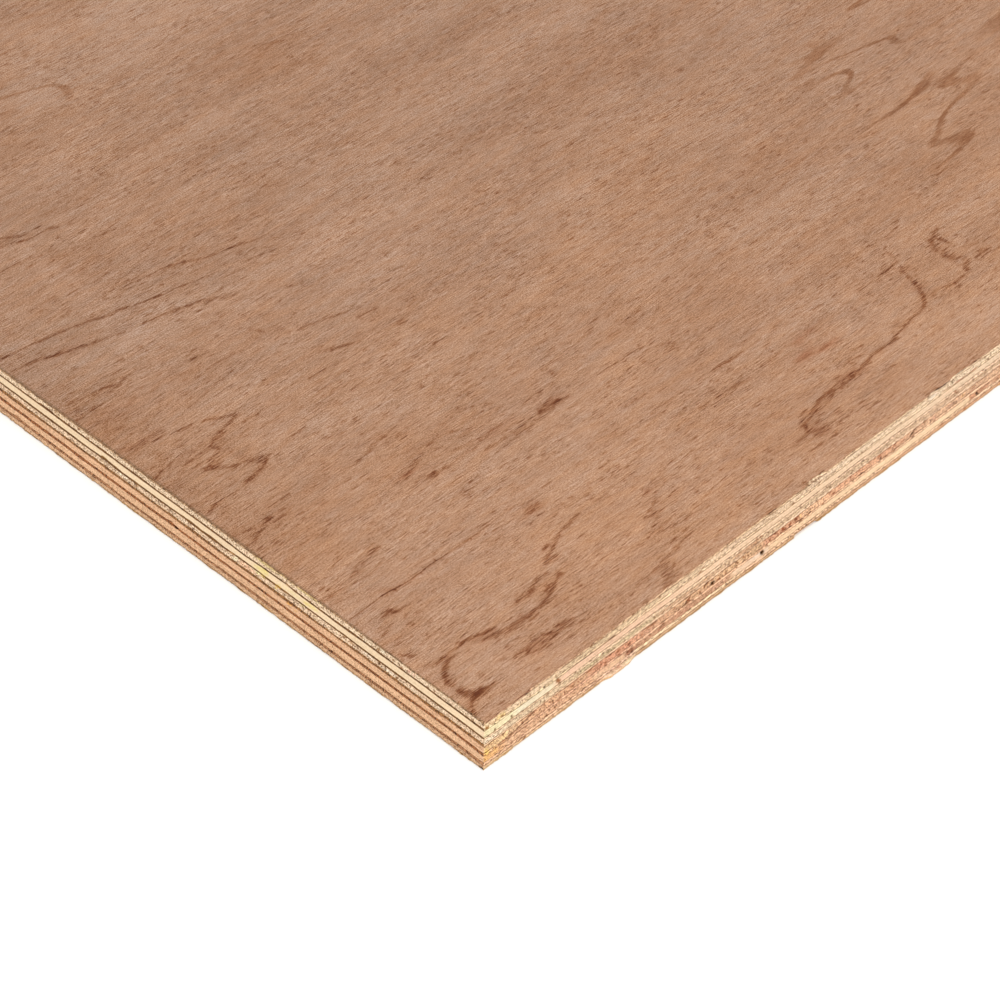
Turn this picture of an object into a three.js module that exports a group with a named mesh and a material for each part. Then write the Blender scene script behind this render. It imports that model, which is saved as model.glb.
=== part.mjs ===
import * as THREE from 'three';

// Thirteen-ply hardwood plywood panel, lying flat. Millimetres, +Z up.
// X runs along the face grain (the long side), Y across it. The origin is the
// centre of the underside, so the panel stands on Z = 0.

// ---- driving dimensions -------------------------------------------------
const LENGTH = 1220;          // along the face grain
const WIDTH = 607;            // across the face grain

// Plies from the underside up: node name, thickness, grain ('x' along the
// length, 'y' across it), colour. The thicknesses add up to 18 mm.
const PLIES = [
  { name: 'back_veneer',  t: 0.55, grain: 'x', color: 0xa9805e },
  { name: 'cross_ply_6',  t: 1.45, grain: 'y', color: 0xc08d63 },
  { name: 'long_ply_5',   t: 1.10, grain: 'x', color: 0xc99c74 },
  { name: 'cross_ply_5',  t: 2.50, grain: 'y', color: 0xdcb089 },
  { name: 'long_ply_4',   t: 1.00, grain: 'x', color: 0xc89a74 },
  { name: 'cross_ply_4',  t: 2.30, grain: 'y', color: 0xd6a581 },
  { name: 'long_ply_3',   t: 1.05, grain: 'x', color: 0xd0a880 },
  { name: 'cross_ply_3',  t: 1.65, grain: 'y', color: 0xcdb592 },
  { name: 'long_ply_2',   t: 0.95, grain: 'x', color: 0xcfb28a },
  { name: 'cross_ply_2',  t: 2.35, grain: 'y', color: 0xe8cfa5 },
  { name: 'long_ply_1',   t: 0.80, grain: 'x', color: 0xcfb289 },
  { name: 'cross_ply_1',  t: 1.70, grain: 'y', color: 0xd9c4a0 },
  { name: 'face_veneer',  t: 0.60, grain: 'x', color: 0xba8d70 },
];

// Flaws along the long front edge (Y = -WIDTH/2), measured from the corner at
// (-LENGTH/2, -WIDTH/2). at: middle of the flaw along X, width along X,
// depth into the panel. 'gap' is an open joint between two strips of a core
// ply, square-sided; 'chip' is broken out of the edge with a rounded back.
const FLAWS = {
  face_veneer: [
    { kind: 'chip', at: 131.8, width: 8.6, depth: 1.0 },
    { kind: 'chip', at: 185.0, width: 7.0, depth: 0.5 },
    { kind: 'chip', at: 196.0, width: 9.0, depth: 0.6 },
  ],
  cross_ply_5: [
    { kind: 'gap', at: 110.3, width: 1.2, depth: 5.0 },
    { kind: 'gap', at: 206.8, width: 1.0, depth: 5.0 },
  ],
  cross_ply_4: [
    { kind: 'gap', at: 89.0, width: 1.2, depth: 4.0 },
  ],
  back_veneer: [
    { kind: 'chip', at: 129.3, width: 9.8, depth: 2.6 },
  ],
};
const CHIP_STEPS = 10;        // straight steps across the back of a chip

// ---- geometry -------------------------------------------------------------
// Plan outline of one ply: the rectangle of the panel, with the flaws let into
// its front edge, counter-clockwise from the corner at (-X, -Y).
function outline(flaws) {
  const x0 = -LENGTH / 2, x1 = LENGTH / 2, y0 = -WIDTH / 2, y1 = WIDTH / 2;
  const pts = [[x0, y0]];
  for (const f of [...flaws].sort((a, b) => a.at - b.at)) {
    const a = x0 + f.at - f.width / 2, b = x0 + f.at + f.width / 2;
    pts.push([a, y0]);
    if (f.kind === 'gap') {
      pts.push([a, y0 + f.depth], [b, y0 + f.depth]);
    } else {
      for (let i = 1; i < CHIP_STEPS; i++) {
        const s = i / CHIP_STEPS;
        pts.push([a + (b - a) * s, y0 + f.depth * Math.sin(Math.PI * s) ** 0.7]);
      }
    }
    pts.push([b, y0]);
  }
  pts.push([x1, y0], [x1, y1], [x0, y1]);
  return new THREE.Shape(pts.map(([x, y]) => new THREE.Vector2(x, y)));
}

// A ply is its outline raised by its thickness. Neighbouring plies share one
// height exactly, because each height is the same number for both.
function ply(spec, zLow, zHigh) {
  const shape = outline(FLAWS[spec.name] ?? []);
  const geometry = new THREE.ExtrudeGeometry(shape, { depth: 1, steps: 1, bevelEnabled: false });
  const pos = geometry.getAttribute('position');
  for (let i = 0; i < pos.count; i++) pos.setZ(i, pos.getZ(i) > 0.5 ? zHigh : zLow);
  pos.needsUpdate = true;
  geometry.computeVertexNormals();
  const material = new THREE.MeshStandardMaterial({ color: spec.color, roughness: 0.8, metalness: 0 });
  const mesh = new THREE.Mesh(geometry, material);
  mesh.name = spec.name;
  return mesh;
}

// ---- assembly ---------------------------------------------------------------
const panel = new THREE.Group();
panel.name = 'plywood_sheet';

let z = 0;
for (const spec of PLIES) {
  const top = Math.round((z + spec.t) * 100) / 100;   // keeps every height on a 0.01 mm step
  panel.add(ply(spec, z, top));
  z = top;
}

export default panel;
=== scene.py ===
import math

import bpy
import numpy as np
from mathutils import Matrix, Vector
from mathutils.geometry import delaunay_2d_cdt


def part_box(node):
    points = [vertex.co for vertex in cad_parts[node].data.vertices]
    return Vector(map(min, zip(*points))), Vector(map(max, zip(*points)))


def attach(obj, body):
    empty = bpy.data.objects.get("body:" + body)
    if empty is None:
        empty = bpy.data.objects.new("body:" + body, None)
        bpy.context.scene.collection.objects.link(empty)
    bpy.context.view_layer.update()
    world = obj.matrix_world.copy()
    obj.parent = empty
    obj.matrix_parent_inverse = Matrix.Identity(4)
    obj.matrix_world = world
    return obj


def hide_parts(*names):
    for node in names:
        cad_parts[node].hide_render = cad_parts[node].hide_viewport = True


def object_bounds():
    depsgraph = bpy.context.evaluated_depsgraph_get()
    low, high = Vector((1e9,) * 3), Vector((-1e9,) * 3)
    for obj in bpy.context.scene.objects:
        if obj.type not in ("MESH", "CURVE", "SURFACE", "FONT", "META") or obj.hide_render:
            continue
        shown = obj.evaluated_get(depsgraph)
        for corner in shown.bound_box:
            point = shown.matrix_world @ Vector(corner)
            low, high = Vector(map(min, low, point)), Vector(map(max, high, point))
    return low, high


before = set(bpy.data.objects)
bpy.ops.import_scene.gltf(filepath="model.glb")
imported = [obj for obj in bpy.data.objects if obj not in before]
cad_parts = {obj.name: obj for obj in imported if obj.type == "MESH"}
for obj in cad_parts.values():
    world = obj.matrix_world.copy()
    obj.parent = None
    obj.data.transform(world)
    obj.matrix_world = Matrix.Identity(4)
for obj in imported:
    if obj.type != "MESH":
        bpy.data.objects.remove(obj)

# Looks of a thirteen-ply plywood sheet lying flat. Lengths below are in
# millimetres and are turned into metres only when a mesh is written.
# Corner coordinates: "u" runs along an edge from the near corner (-X, -Y),
# and (x, y) on the face are measured from the same corner, +x along the face
# grain and +y along the left-hand end.

CAD_BOX = [list(v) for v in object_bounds()]
LEN = (CAD_BOX[1][0] - CAD_BOX[0][0]) * 1000.0      # 1220, along the face grain
WID = (CAD_BOX[1][1] - CAD_BOX[0][1]) * 1000.0      # 607, across it
X0, Y0 = -LEN / 2, -WID / 2

PLIES = ["back_veneer", "cross_ply_6", "long_ply_5", "cross_ply_5", "long_ply_4",
         "cross_ply_4", "long_ply_3", "cross_ply_3", "long_ply_2", "cross_ply_2",
         "long_ply_1", "cross_ply_1", "face_veneer"]
SLOTS = ["back_veneer", "cross_ply_brown", "long_ply_red", "cross_ply_red", "long_ply_red",
         "cross_ply_red", "long_ply_red", "cross_ply_pale", "long_ply_pale", "cross_ply_cream",
         "long_ply_pale", "cross_ply_pale", "face_veneer"]
NP = len(PLIES)
Z_CAD = [0.0] + [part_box(n)[1].z * 1000.0 for n in PLIES]   # ply boundaries, bottom to top


# ============================================================ small tools
def smooth(a, b, x):
    t = np.clip((np.asarray(x, float) - a) / (b - a), 0.0, 1.0)
    return t * t * (3.0 - 2.0 * t)


def _hash(ix, iy, seed):
    h = (ix * 374761393 + iy * 668265263 + seed * 974634777) & 0xffffffff
    h = ((h ^ (h >> 13)) * 1274126177) & 0xffffffff
    h = ((h ^ (h >> 16)) * 1103515245) & 0xffffffff
    return ((h >> 7) & 0xffffff) / float(0xffffff)


def noise(x, y, seed):
    """Smooth value noise from -1 to 1, one lump per unit."""
    x, y = np.broadcast_arrays(np.asarray(x, float), np.asarray(y, float))
    fx, fy = np.floor(x), np.floor(y)
    ix, iy = fx.astype(np.int64), fy.astype(np.int64)
    tx, ty = x - fx, y - fy
    tx, ty = tx * tx * (3 - 2 * tx), ty * ty * (3 - 2 * ty)
    a = _hash(ix, iy, seed) * (1 - tx) + _hash(ix + 1, iy, seed) * tx
    b = _hash(ix, iy + 1, seed) * (1 - tx) + _hash(ix + 1, iy + 1, seed) * tx
    return (a * (1 - ty) + b * ty) * 2.0 - 1.0


def lin(c):
    """sRGB 0..255 to linear 0..1."""
    c = np.asarray(c, float) / 255.0
    return np.where(c <= 0.04045, c / 12.92, ((c + 0.055) / 1.055) ** 2.4)


def table(rows, u):
    """Linear table of (u, value or colour) read at u."""
    us = [r[0] for r in rows]
    vals = np.array([np.atleast_1d(r[1]) for r in rows], float)
    out = np.stack([np.interp(u, us, vals[:, i]) for i in range(vals.shape[1])], -1)
    return out[..., 0] if out.shape[-1] == 1 else out


# ================================================================ camera
CAM_POS = (-1003.767, -675.071, 598.113)
CAM_RIGHT = Vector((0.697344612, -0.716422107, 0.021209820))
CAM_DOWN = Vector((-0.476666179, -0.485666220, -0.732746666))
CAM_FWD = Vector((0.535256804, 0.500866936, -0.680170910))
cam_data = bpy.data.cameras.new("camera")
cam_data.sensor_fit = "HORIZONTAL"
cam_data.sensor_width = 36.0
cam_data.lens = 111.809
cam_data.clip_start = 0.02
cam_data.clip_end = 60.0
cam_data.dof.use_dof = False
camera = bpy.data.objects.new("camera", cam_data)
bpy.context.scene.collection.objects.link(camera)
m = Matrix.Identity(4)
for i in range(3):
    m[i][0], m[i][1], m[i][2] = CAM_RIGHT[i], -CAM_DOWN[i], -CAM_FWD[i]
    m[i][3] = CAM_POS[i] / 1000.0
camera.matrix_world = m
bpy.context.scene.camera = camera

# =================================================== columns round the edge
FINE_FRONT, FINE_LEFT = 230.0, 205.0        # close-up stretch from the near corner
STEP, COARSE, BEVEL = 0.36, 3.0, 0.10


def spaced(a, b, step):
    return np.linspace(a, b, max(2, int(math.ceil((b - a) / step)) + 1))


def merged(*parts):
    a = np.unique(np.round(np.concatenate(parts), 4))
    keep = [a[0]]
    for v in a[1:]:
        if v - keep[-1] > 0.07:
            keep.append(v)
    keep[-1] = a[-1]
    return np.array(keep)


WALLS = np.array([109.55, 109.65, 110.85, 110.95, 88.35, 88.45, 89.55, 89.65,
                  206.25, 206.35, 207.35, 207.45, 124.3, 134.3])
cols = [merged(spaced(BEVEL, FINE_FRONT, STEP), WALLS, spaced(FINE_FRONT, LEN - BEVEL, COARSE)),
        spaced(BEVEL, WID - BEVEL, COARSE),
        spaced(BEVEL, LEN - BEVEL, COARSE),
        merged(spaced(BEVEL, WID - FINE_LEFT, COARSE), spaced(WID - FINE_LEFT, WID - BEVEL, STEP))]
SIDE = np.concatenate([np.full(len(c), i) for i, c in enumerate(cols)])
A = np.concatenate(cols)                     # distance along its own side
N = len(A)
START = np.array([[X0, Y0], [-X0, Y0], [-X0, -Y0], [X0, -Y0]])
DIR = np.array([[1, 0], [0, 1], [-1, 0], [0, -1]], float)
NRM = np.array([[0, -1], [1, 0], [0, 1], [-1, 0]], float)
SLEN = np.array([LEN, WID, LEN, WID])
RING = START[SIDE] + DIR[SIDE] * A[:, None]  # nominal outline
OUT = NRM[SIDE]
IS_END = (SIDE % 2) == 1                     # the two ends, where the long plies show end grain
# u: distance from the near corner on the two edges that meet there; the other
# two edges get numbers far from those, so that they repeat nothing.
U = np.where(SIDE == 0, A, np.where(SIDE == 3, WID - A, np.where(SIDE == 1, A + 3000.0, A + 6000.0)))
FRONT, LEFT = SIDE == 0, SIDE == 3
CORNER = np.minimum(A, SLEN[SIDE] - A)       # distance to the nearest corner
PERIM = np.array([0, LEN, LEN + WID, 2 * LEN + WID])[SIDE] + A

# ============================================== where each ply meets the next
#           0    1     2     3     4     5     6     7     8      9      10     11     12     13
Z_LONG = [0.0, 0.72, 1.70, 2.95, 5.12, 6.20, 8.74, 9.75, 11.13, 12.28, 14.62, 15.55, 17.20, 18.0]
Z_END = [0.0, 0.60, 2.05, 3.17, 5.72, 6.74, 9.17, 10.09, 12.00, 12.74, 15.05, 15.76, 17.62, 18.0]

WAVE_FRONT = {
    2: [(0, 0), (16, -.05), (22, .02), (30, .15), (34, .15), (40, 0), (46, .1), (52, .15), (58, .1), (64, .02), (70, .1), (90, 0), (100, -.06), (130, .03), (142, .06), (170, -.03), (187, .07), (200, -.05), (208, -.1), (230, 0)],
    3: [(0, 0), (4, -.08), (16, -.06), (28, .1), (34, -.06), (50, 0), (58, .22), (70, .24), (80, .15), (90, .06), (100, -.08), (110, 0), (118, .08), (130, -.06), (138, .08), (150, 0), (180, -.08), (190, .04), (200, .03), (208, .2), (230, 0)],
    4: [(0, 0), (28, -.06), (34, -.12), (46, .2), (52, .06), (58, -.08), (64, -.22), (76, .12), (82, .04), (90, .1), (105, .12), (112, -.1), (124, -.14), (136, .14), (142, 0), (160, .06), (184, .2), (190, .06), (202, 0), (208, -.25), (230, 0)],
    5: [(0, 0), (16, -.1), (28, -.16), (40, .05), (52, .07), (64, -.04), (70, -.1), (76, .07), (88, .06), (94, .07), (112, 0), (124, -.12), (136, -.15), (142, 0), (154, .08), (166, -.05), (172, .1), (184, .12), (196, .15), (208, -.08), (230, 0)],
    6: [(0, .1), (4, .2), (10, .18), (16, .1), (22, 0), (34, -.1), (42, .15), (58, .1), (64, .08), (76, 0), (88, -.05), (94, .08), (100, -.08), (106, 0), (112, -.2), (118, -.33), (124, -.25), (130, 0), (136, -.15), (148, 0), (178, -.1), (190, .03), (208, -.2), (230, 0)],
    7: [(0, 0), (10, 0), (22, -.2), (28, -.24), (34, -.15), (40, 0), (52, .12), (58, .14), (70, -.05), (82, .06), (94, .2), (100, 0), (106, -.2), (112, -.04), (118, -.18), (130, -.05), (142, .05), (154, .2), (172, .12), (184, 0), (196, .3), (208, .3), (230, 0)],
    8: [(0, .1), (16, .2), (28, .2), (34, 0), (46, -.18), (58, .2), (70, -.3), (76, 0), (82, -.17), (94, .17), (118, -.25), (124, -.22), (130, .05), (154, -.1), (172, .17), (184, .07), (190, .3), (202, -.1), (230, 0)],
    9: [(0, -.1), (10, .04), (22, -.2), (28, -.15), (40, .08), (58, .18), (70, 0), (82, -.06), (94, .06), (112, -.14), (124, -.14), (148, .06), (166, .1), (184, .02), (190, .08), (196, 0), (208, .14), (230, 0)],
    10: [(0, .1), (10, .15), (16, -.1), (28, -.2), (34, .03), (40, -.08), (58, .15), (70, -.07), (94, -.07), (118, -.18), (130, -.1), (148, .07), (166, .17), (184, -.06), (196, .2), (230, 0)],
    11: [(0, -.1), (16, -.26), (28, 0), (40, .15), (52, -.06), (58, .3), (64, .2), (70, 0), (82, .12), (88, -.12), (106, .08), (118, -.26), (124, .1), (142, -.06), (150, -.3), (154, -.3), (172, .24), (178, .26), (184, .04), (190, -.3), (202, -.3), (208, .3), (230, 0)],
}
WAVE_LEFT = {
    2: [(0, -.1), (15, .05), (45, -.02), (63, .1), (75, .05), (83, .15), (103, .2), (111, -.05), (145, .03), (160, .05), (180, .2), (190, .28), (205, .1)],
    3: [(0, 0), (45, .02), (60, .03), (83, .15), (100, .1), (107, -.15), (115, -.03), (127, -.15), (135, -.25), (143, -.3), (150, .05), (165, .1), (180, .2), (185, .25), (188, .5), (190, .3), (193, .1), (205, 0)],
    4: [(0, -.1), (10, .12), (20, .15), (30, .05), (47, .15), (55, 0), (65, .12), (80, .18), (90, .12), (107, -.12), (115, -.05), (123, .05), (135, -.17), (155, -.12), (158, -.25), (162, -.2), (165, 0), (180, -.1), (205, -.1)],
    5: [(0, .08), (5, .12), (30, .07), (45, .08), (55, .05), (75, .13), (90, .07), (100, -.12), (110, -.05), (118, -.17), (121, .3), (123, .13), (131, -.1), (155, -.12), (165, .1), (175, .1), (185, .03), (205, .1)],
    6: [(0, -.08), (14, 0), (17, -.3), (22, -.25), (25, 0), (35, .12), (55, .28), (65, .05), (72, 0), (85, .15), (95, 0), (100, -.1), (120, -.1), (135, 0), (147, -.2), (155, -.05), (170, .05), (187, -.12), (205, .1)],
    7: [(0, .10), (15, .12), (23, .0), (37, .25), (50, .07), (63, 0), (71, .22), (75, .3), (87, .25), (95, 0), (99, -.18), (110, .05), (112.5, .25), (115, 0), (127, -.15), (152, -.08), (153.5, .25), (155, -.08), (175, -.02), (184, .15), (187, .34), (192, .2), (205, .1)],
    8: [(0, .12), (10, -.05), (19, -.12), (27, .1), (40, -.1), (51, .18), (67, .2), (75, .28), (80, .1), (87, .44), (95, .24), (100, -.1), (110, -.15), (115, .1), (125, -.1), (143, -.26), (148, 0), (163, -.12), (175, -.1), (185, .1), (191, .26), (205, .1)],
    9: [(0, -.02), (19, -.1), (30, .05), (43, -.08), (51, .13), (63, .03), (75, .17), (82, .2), (88, .25), (95, .15), (99, -.1), (104, .25), (108, -.02), (113, .3), (118, .05), (123, -.1), (141, -.12), (145, .1), (149.8, .5), (150.6, 0), (155, -.08), (165, 0), (183, .1), (205, .1)],
    10: [(0, -.05), (15, -.05), (23, .1), (35, 0), (43, .05), (55, -.15), (63, .08), (71, .1), (74, .5), (80, .28), (85, .2), (91, -.2), (97, -.1), (105, 0), (131, -.1), (150, -.06), (165, 0), (173, .12), (178, .1), (185, .15), (192, .2), (205, .1)],
    11: [(0, -.03), (7, -.08), (15, -.12), (23, .1), (30, -.05), (40, .12), (47, .14), (58, -.08), (67, 0), (71, .1), (75, .34), (80, .2), (91, -.26), (97, -.1), (103, .02), (127, -.1), (131, .08), (140, -.05), (151, .08), (155, -.06), (163, .12), (170, .2), (171.5, .5), (176, .5), (177.5, .05), (183, .1), (205, .1)],
    12: [(0, -.12), (7, -.12), (9, 0), (28, 0), (33, .1), (41, .1), (44, 0), (205, 0)],
}


def boundaries():
    """Height of each ply boundary at each column: shape (14, N)."""
    z = np.zeros((NP + 1, N))
    near = smooth(0.0, 7.0, CORNER)
    close = ((FRONT & (U < FINE_FRONT)) | (LEFT & (U < FINE_LEFT))).astype(float)
    for k in range(1, NP):
        zl, ze = Z_LONG[k], Z_END[k]
        own = np.where(IS_END, ze, zl)
        z[k] = own * near + 0.5 * (zl + ze) * (1 - near)
        z[k] += np.where(close > 0, 0.035, 0.11) * noise(U / 26.0, 0.5, 40 + k)
        z[k] += np.where(close > 0, 0.045, 0.05) * noise(U / 4.5, 0.5, 60 + k)
        z[k] += np.where(close > 0, np.where(IS_END, 0.075, 0.035), 0.0) * noise(U / 0.85, 0.5, 80 + k)
        if k in WAVE_FRONT:
            z[k] += np.where(FRONT & (U < 230), table(WAVE_FRONT[k], U), 0.0)
        if k in WAVE_LEFT:
            z[k] += np.where(LEFT & (U < 205), table(WAVE_LEFT[k], U), 0.0)
    z[NP] = Z_CAD[NP]
    for k in range(1, NP + 1):                     # keep every ply at least 0.3 mm thick
        z[k] = np.maximum(z[k], z[k - 1] + 0.3)
    return z


ZB = boundaries()

# ========================================================= colours (sRGB 0..255)
# Palette of each ply where it shows long grain or end grain, and how it
# changes along the close-up stretch of the front edge.
END_COL = {0: (152, 118, 88), 1: (206, 162, 124), 2: (150, 104, 74), 3: (230, 182, 144), 4: (138, 90, 62),
           5: (228, 180, 142), 6: (142, 102, 70), 7: (218, 186, 156), 8: (138, 106, 70), 9: (248, 218, 178),
           10: (136, 104, 70), 11: (228, 198, 166), 12: (158, 122, 92)}
LONG_COL = {0: (200, 156, 116), 1: (212, 168, 130), 2: (240, 200, 158), 3: (226, 176, 136), 4: (232, 186, 148),
            5: (220, 162, 126), 6: (234, 196, 158), 7: (216, 184, 148), 8: (232, 198, 160), 9: (250, 214, 176),
            10: (228, 196, 158), 11: (236, 206, 166), 12: (220, 184, 146)}
STRIP_COLS = {1: [(212, 168, 130), (202, 158, 118), (222, 180, 142)], 3: [(226, 176, 136), (208, 158, 120), (250, 212, 170)],
              5: [(216, 150, 116), (224, 166, 130), (228, 176, 138)], 7: [(222, 192, 154), (208, 182, 142), (212, 172, 134)],
              9: [(250, 214, 176), (248, 204, 168), (250, 228, 188)], 11: [(236, 206, 166), (224, 194, 152), (242, 214, 176)]}
FRONT_COL = {
    0: [(0, (214, 176, 138)), (44, (208, 166, 128)), (46, (236, 192, 158)), (58, (236, 192, 158)), (60, (196, 154, 114)), (124, (198, 156, 116)), (165, (202, 158, 118)), (230, (206, 160, 122))],
    1: [(0, (222, 180, 138)), (44, (216, 172, 134)), (46, (236, 192, 156)), (57, (238, 198, 160)), (59, (206, 164, 124)), (112, (206, 164, 124)), (165, (210, 162, 124)), (230, (214, 166, 128))],
    2: [(0, (236, 190, 148)), (44, (234, 190, 152)), (46, (236, 192, 156)), (57, (238, 196, 160)), (59, (250, 216, 172)), (100, (248, 212, 168)), (105, (238, 192, 152)), (112, (240, 198, 156)), (230, (240, 200, 160))],
    3: [(0, (238, 180, 112)), (6, (236, 180, 128)), (9, (226, 178, 138)), (40, (224, 174, 134)), (43, (236, 192, 152)), (53.5, (236, 190, 150)), (55, (206, 156, 120)), (96, (208, 158, 120)), (98, (244, 206, 168)), (112, (246, 210, 176)), (114, (248, 208, 164)), (203, (250, 214, 172)), (203.4, (230, 168, 126)), (206.3, (230, 168, 126)), (207.2, (212, 158, 120)), (230, (222, 172, 132))],
    4: [(0, (232, 182, 130)), (10, (224, 176, 136)), (40, (226, 174, 138)), (60, (232, 184, 146)), (115, (228, 182, 142)), (230, (234, 190, 152))],
    5: [(0, (226, 176, 126)), (10, (224, 174, 134)), (20, (218, 160, 122)), (38, (216, 160, 122)), (42, (216, 148, 114)), (56, (214, 146, 112)), (60, (216, 154, 120)), (76, (214, 160, 122)), (90, (216, 162, 122)), (96, (220, 168, 128)), (109, (214, 164, 124)), (111, (214, 150, 116)), (126, (214, 152, 116)), (128, (230, 176, 138)), (138, (228, 168, 130)), (142, (222, 160, 124)), (165, (222, 160, 124)), (180, (226, 172, 136)), (230, (222, 170, 134))],
    6: [(0, (232, 194, 154)), (30, (226, 186, 148)), (60, (236, 198, 160)), (85, (230, 188, 150)), (98, (240, 200, 162)), (105, (224, 180, 142)), (115, (236, 200, 164)), (230, (236, 196, 160))],
    7: [(0, (230, 208, 176)), (6, (226, 200, 164)), (33, (222, 192, 154)), (37, (208, 184, 142)), (64, (208, 182, 142)), (68, (212, 172, 134)), (86, (212, 172, 134)), (96, (218, 184, 146)), (99, (210, 168, 130)), (107, (208, 164, 126)), (110, (218, 186, 148)), (165, (214, 182, 146)), (190, (220, 182, 146)), (205, (212, 176, 138)), (230, (218, 186, 150))],
    8: [(0, (232, 200, 160)), (230, (232, 196, 160))],
    9: [(0, (250, 230, 180)), (10, (250, 230, 184)), (13, (250, 232, 196)), (25, (250, 226, 188)), (27.5, (248, 210, 174)), (30, (248, 202, 168)), (58, (248, 204, 168)), (90, (250, 210, 172)), (150, (250, 214, 176)), (230, (250, 216, 180))],
    10: [(0, (232, 204, 160)), (28, (228, 196, 156)), (60, (230, 194, 156)), (230, (228, 196, 160))],
    11: [(0, (238, 206, 160)), (10, (238, 208, 168)), (27, (234, 204, 164)), (33, (222, 194, 152)), (58, (224, 194, 152)), (62, (230, 202, 160)), (95, (234, 202, 164)), (127, (236, 206, 168)), (130, (236, 206, 170)), (137, (236, 206, 170)), (140, (236, 208, 172)), (180, (238, 210, 172)), (183, (240, 214, 178)), (205, (240, 214, 178)), (210, (240, 214, 176)), (230, (242, 222, 186))],
    12: [(0, (216, 176, 138)), (28, (220, 180, 142)), (60, (216, 178, 142)), (95, (226, 188, 148)), (127, (224, 190, 152)), (130, (230, 198, 162)), (136, (230, 198, 162)), (139, (230, 196, 158)), (180, (230, 198, 160)), (183, (236, 206, 172)), (205, (234, 204, 168)), (230, (238, 208, 172))],
}
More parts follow.
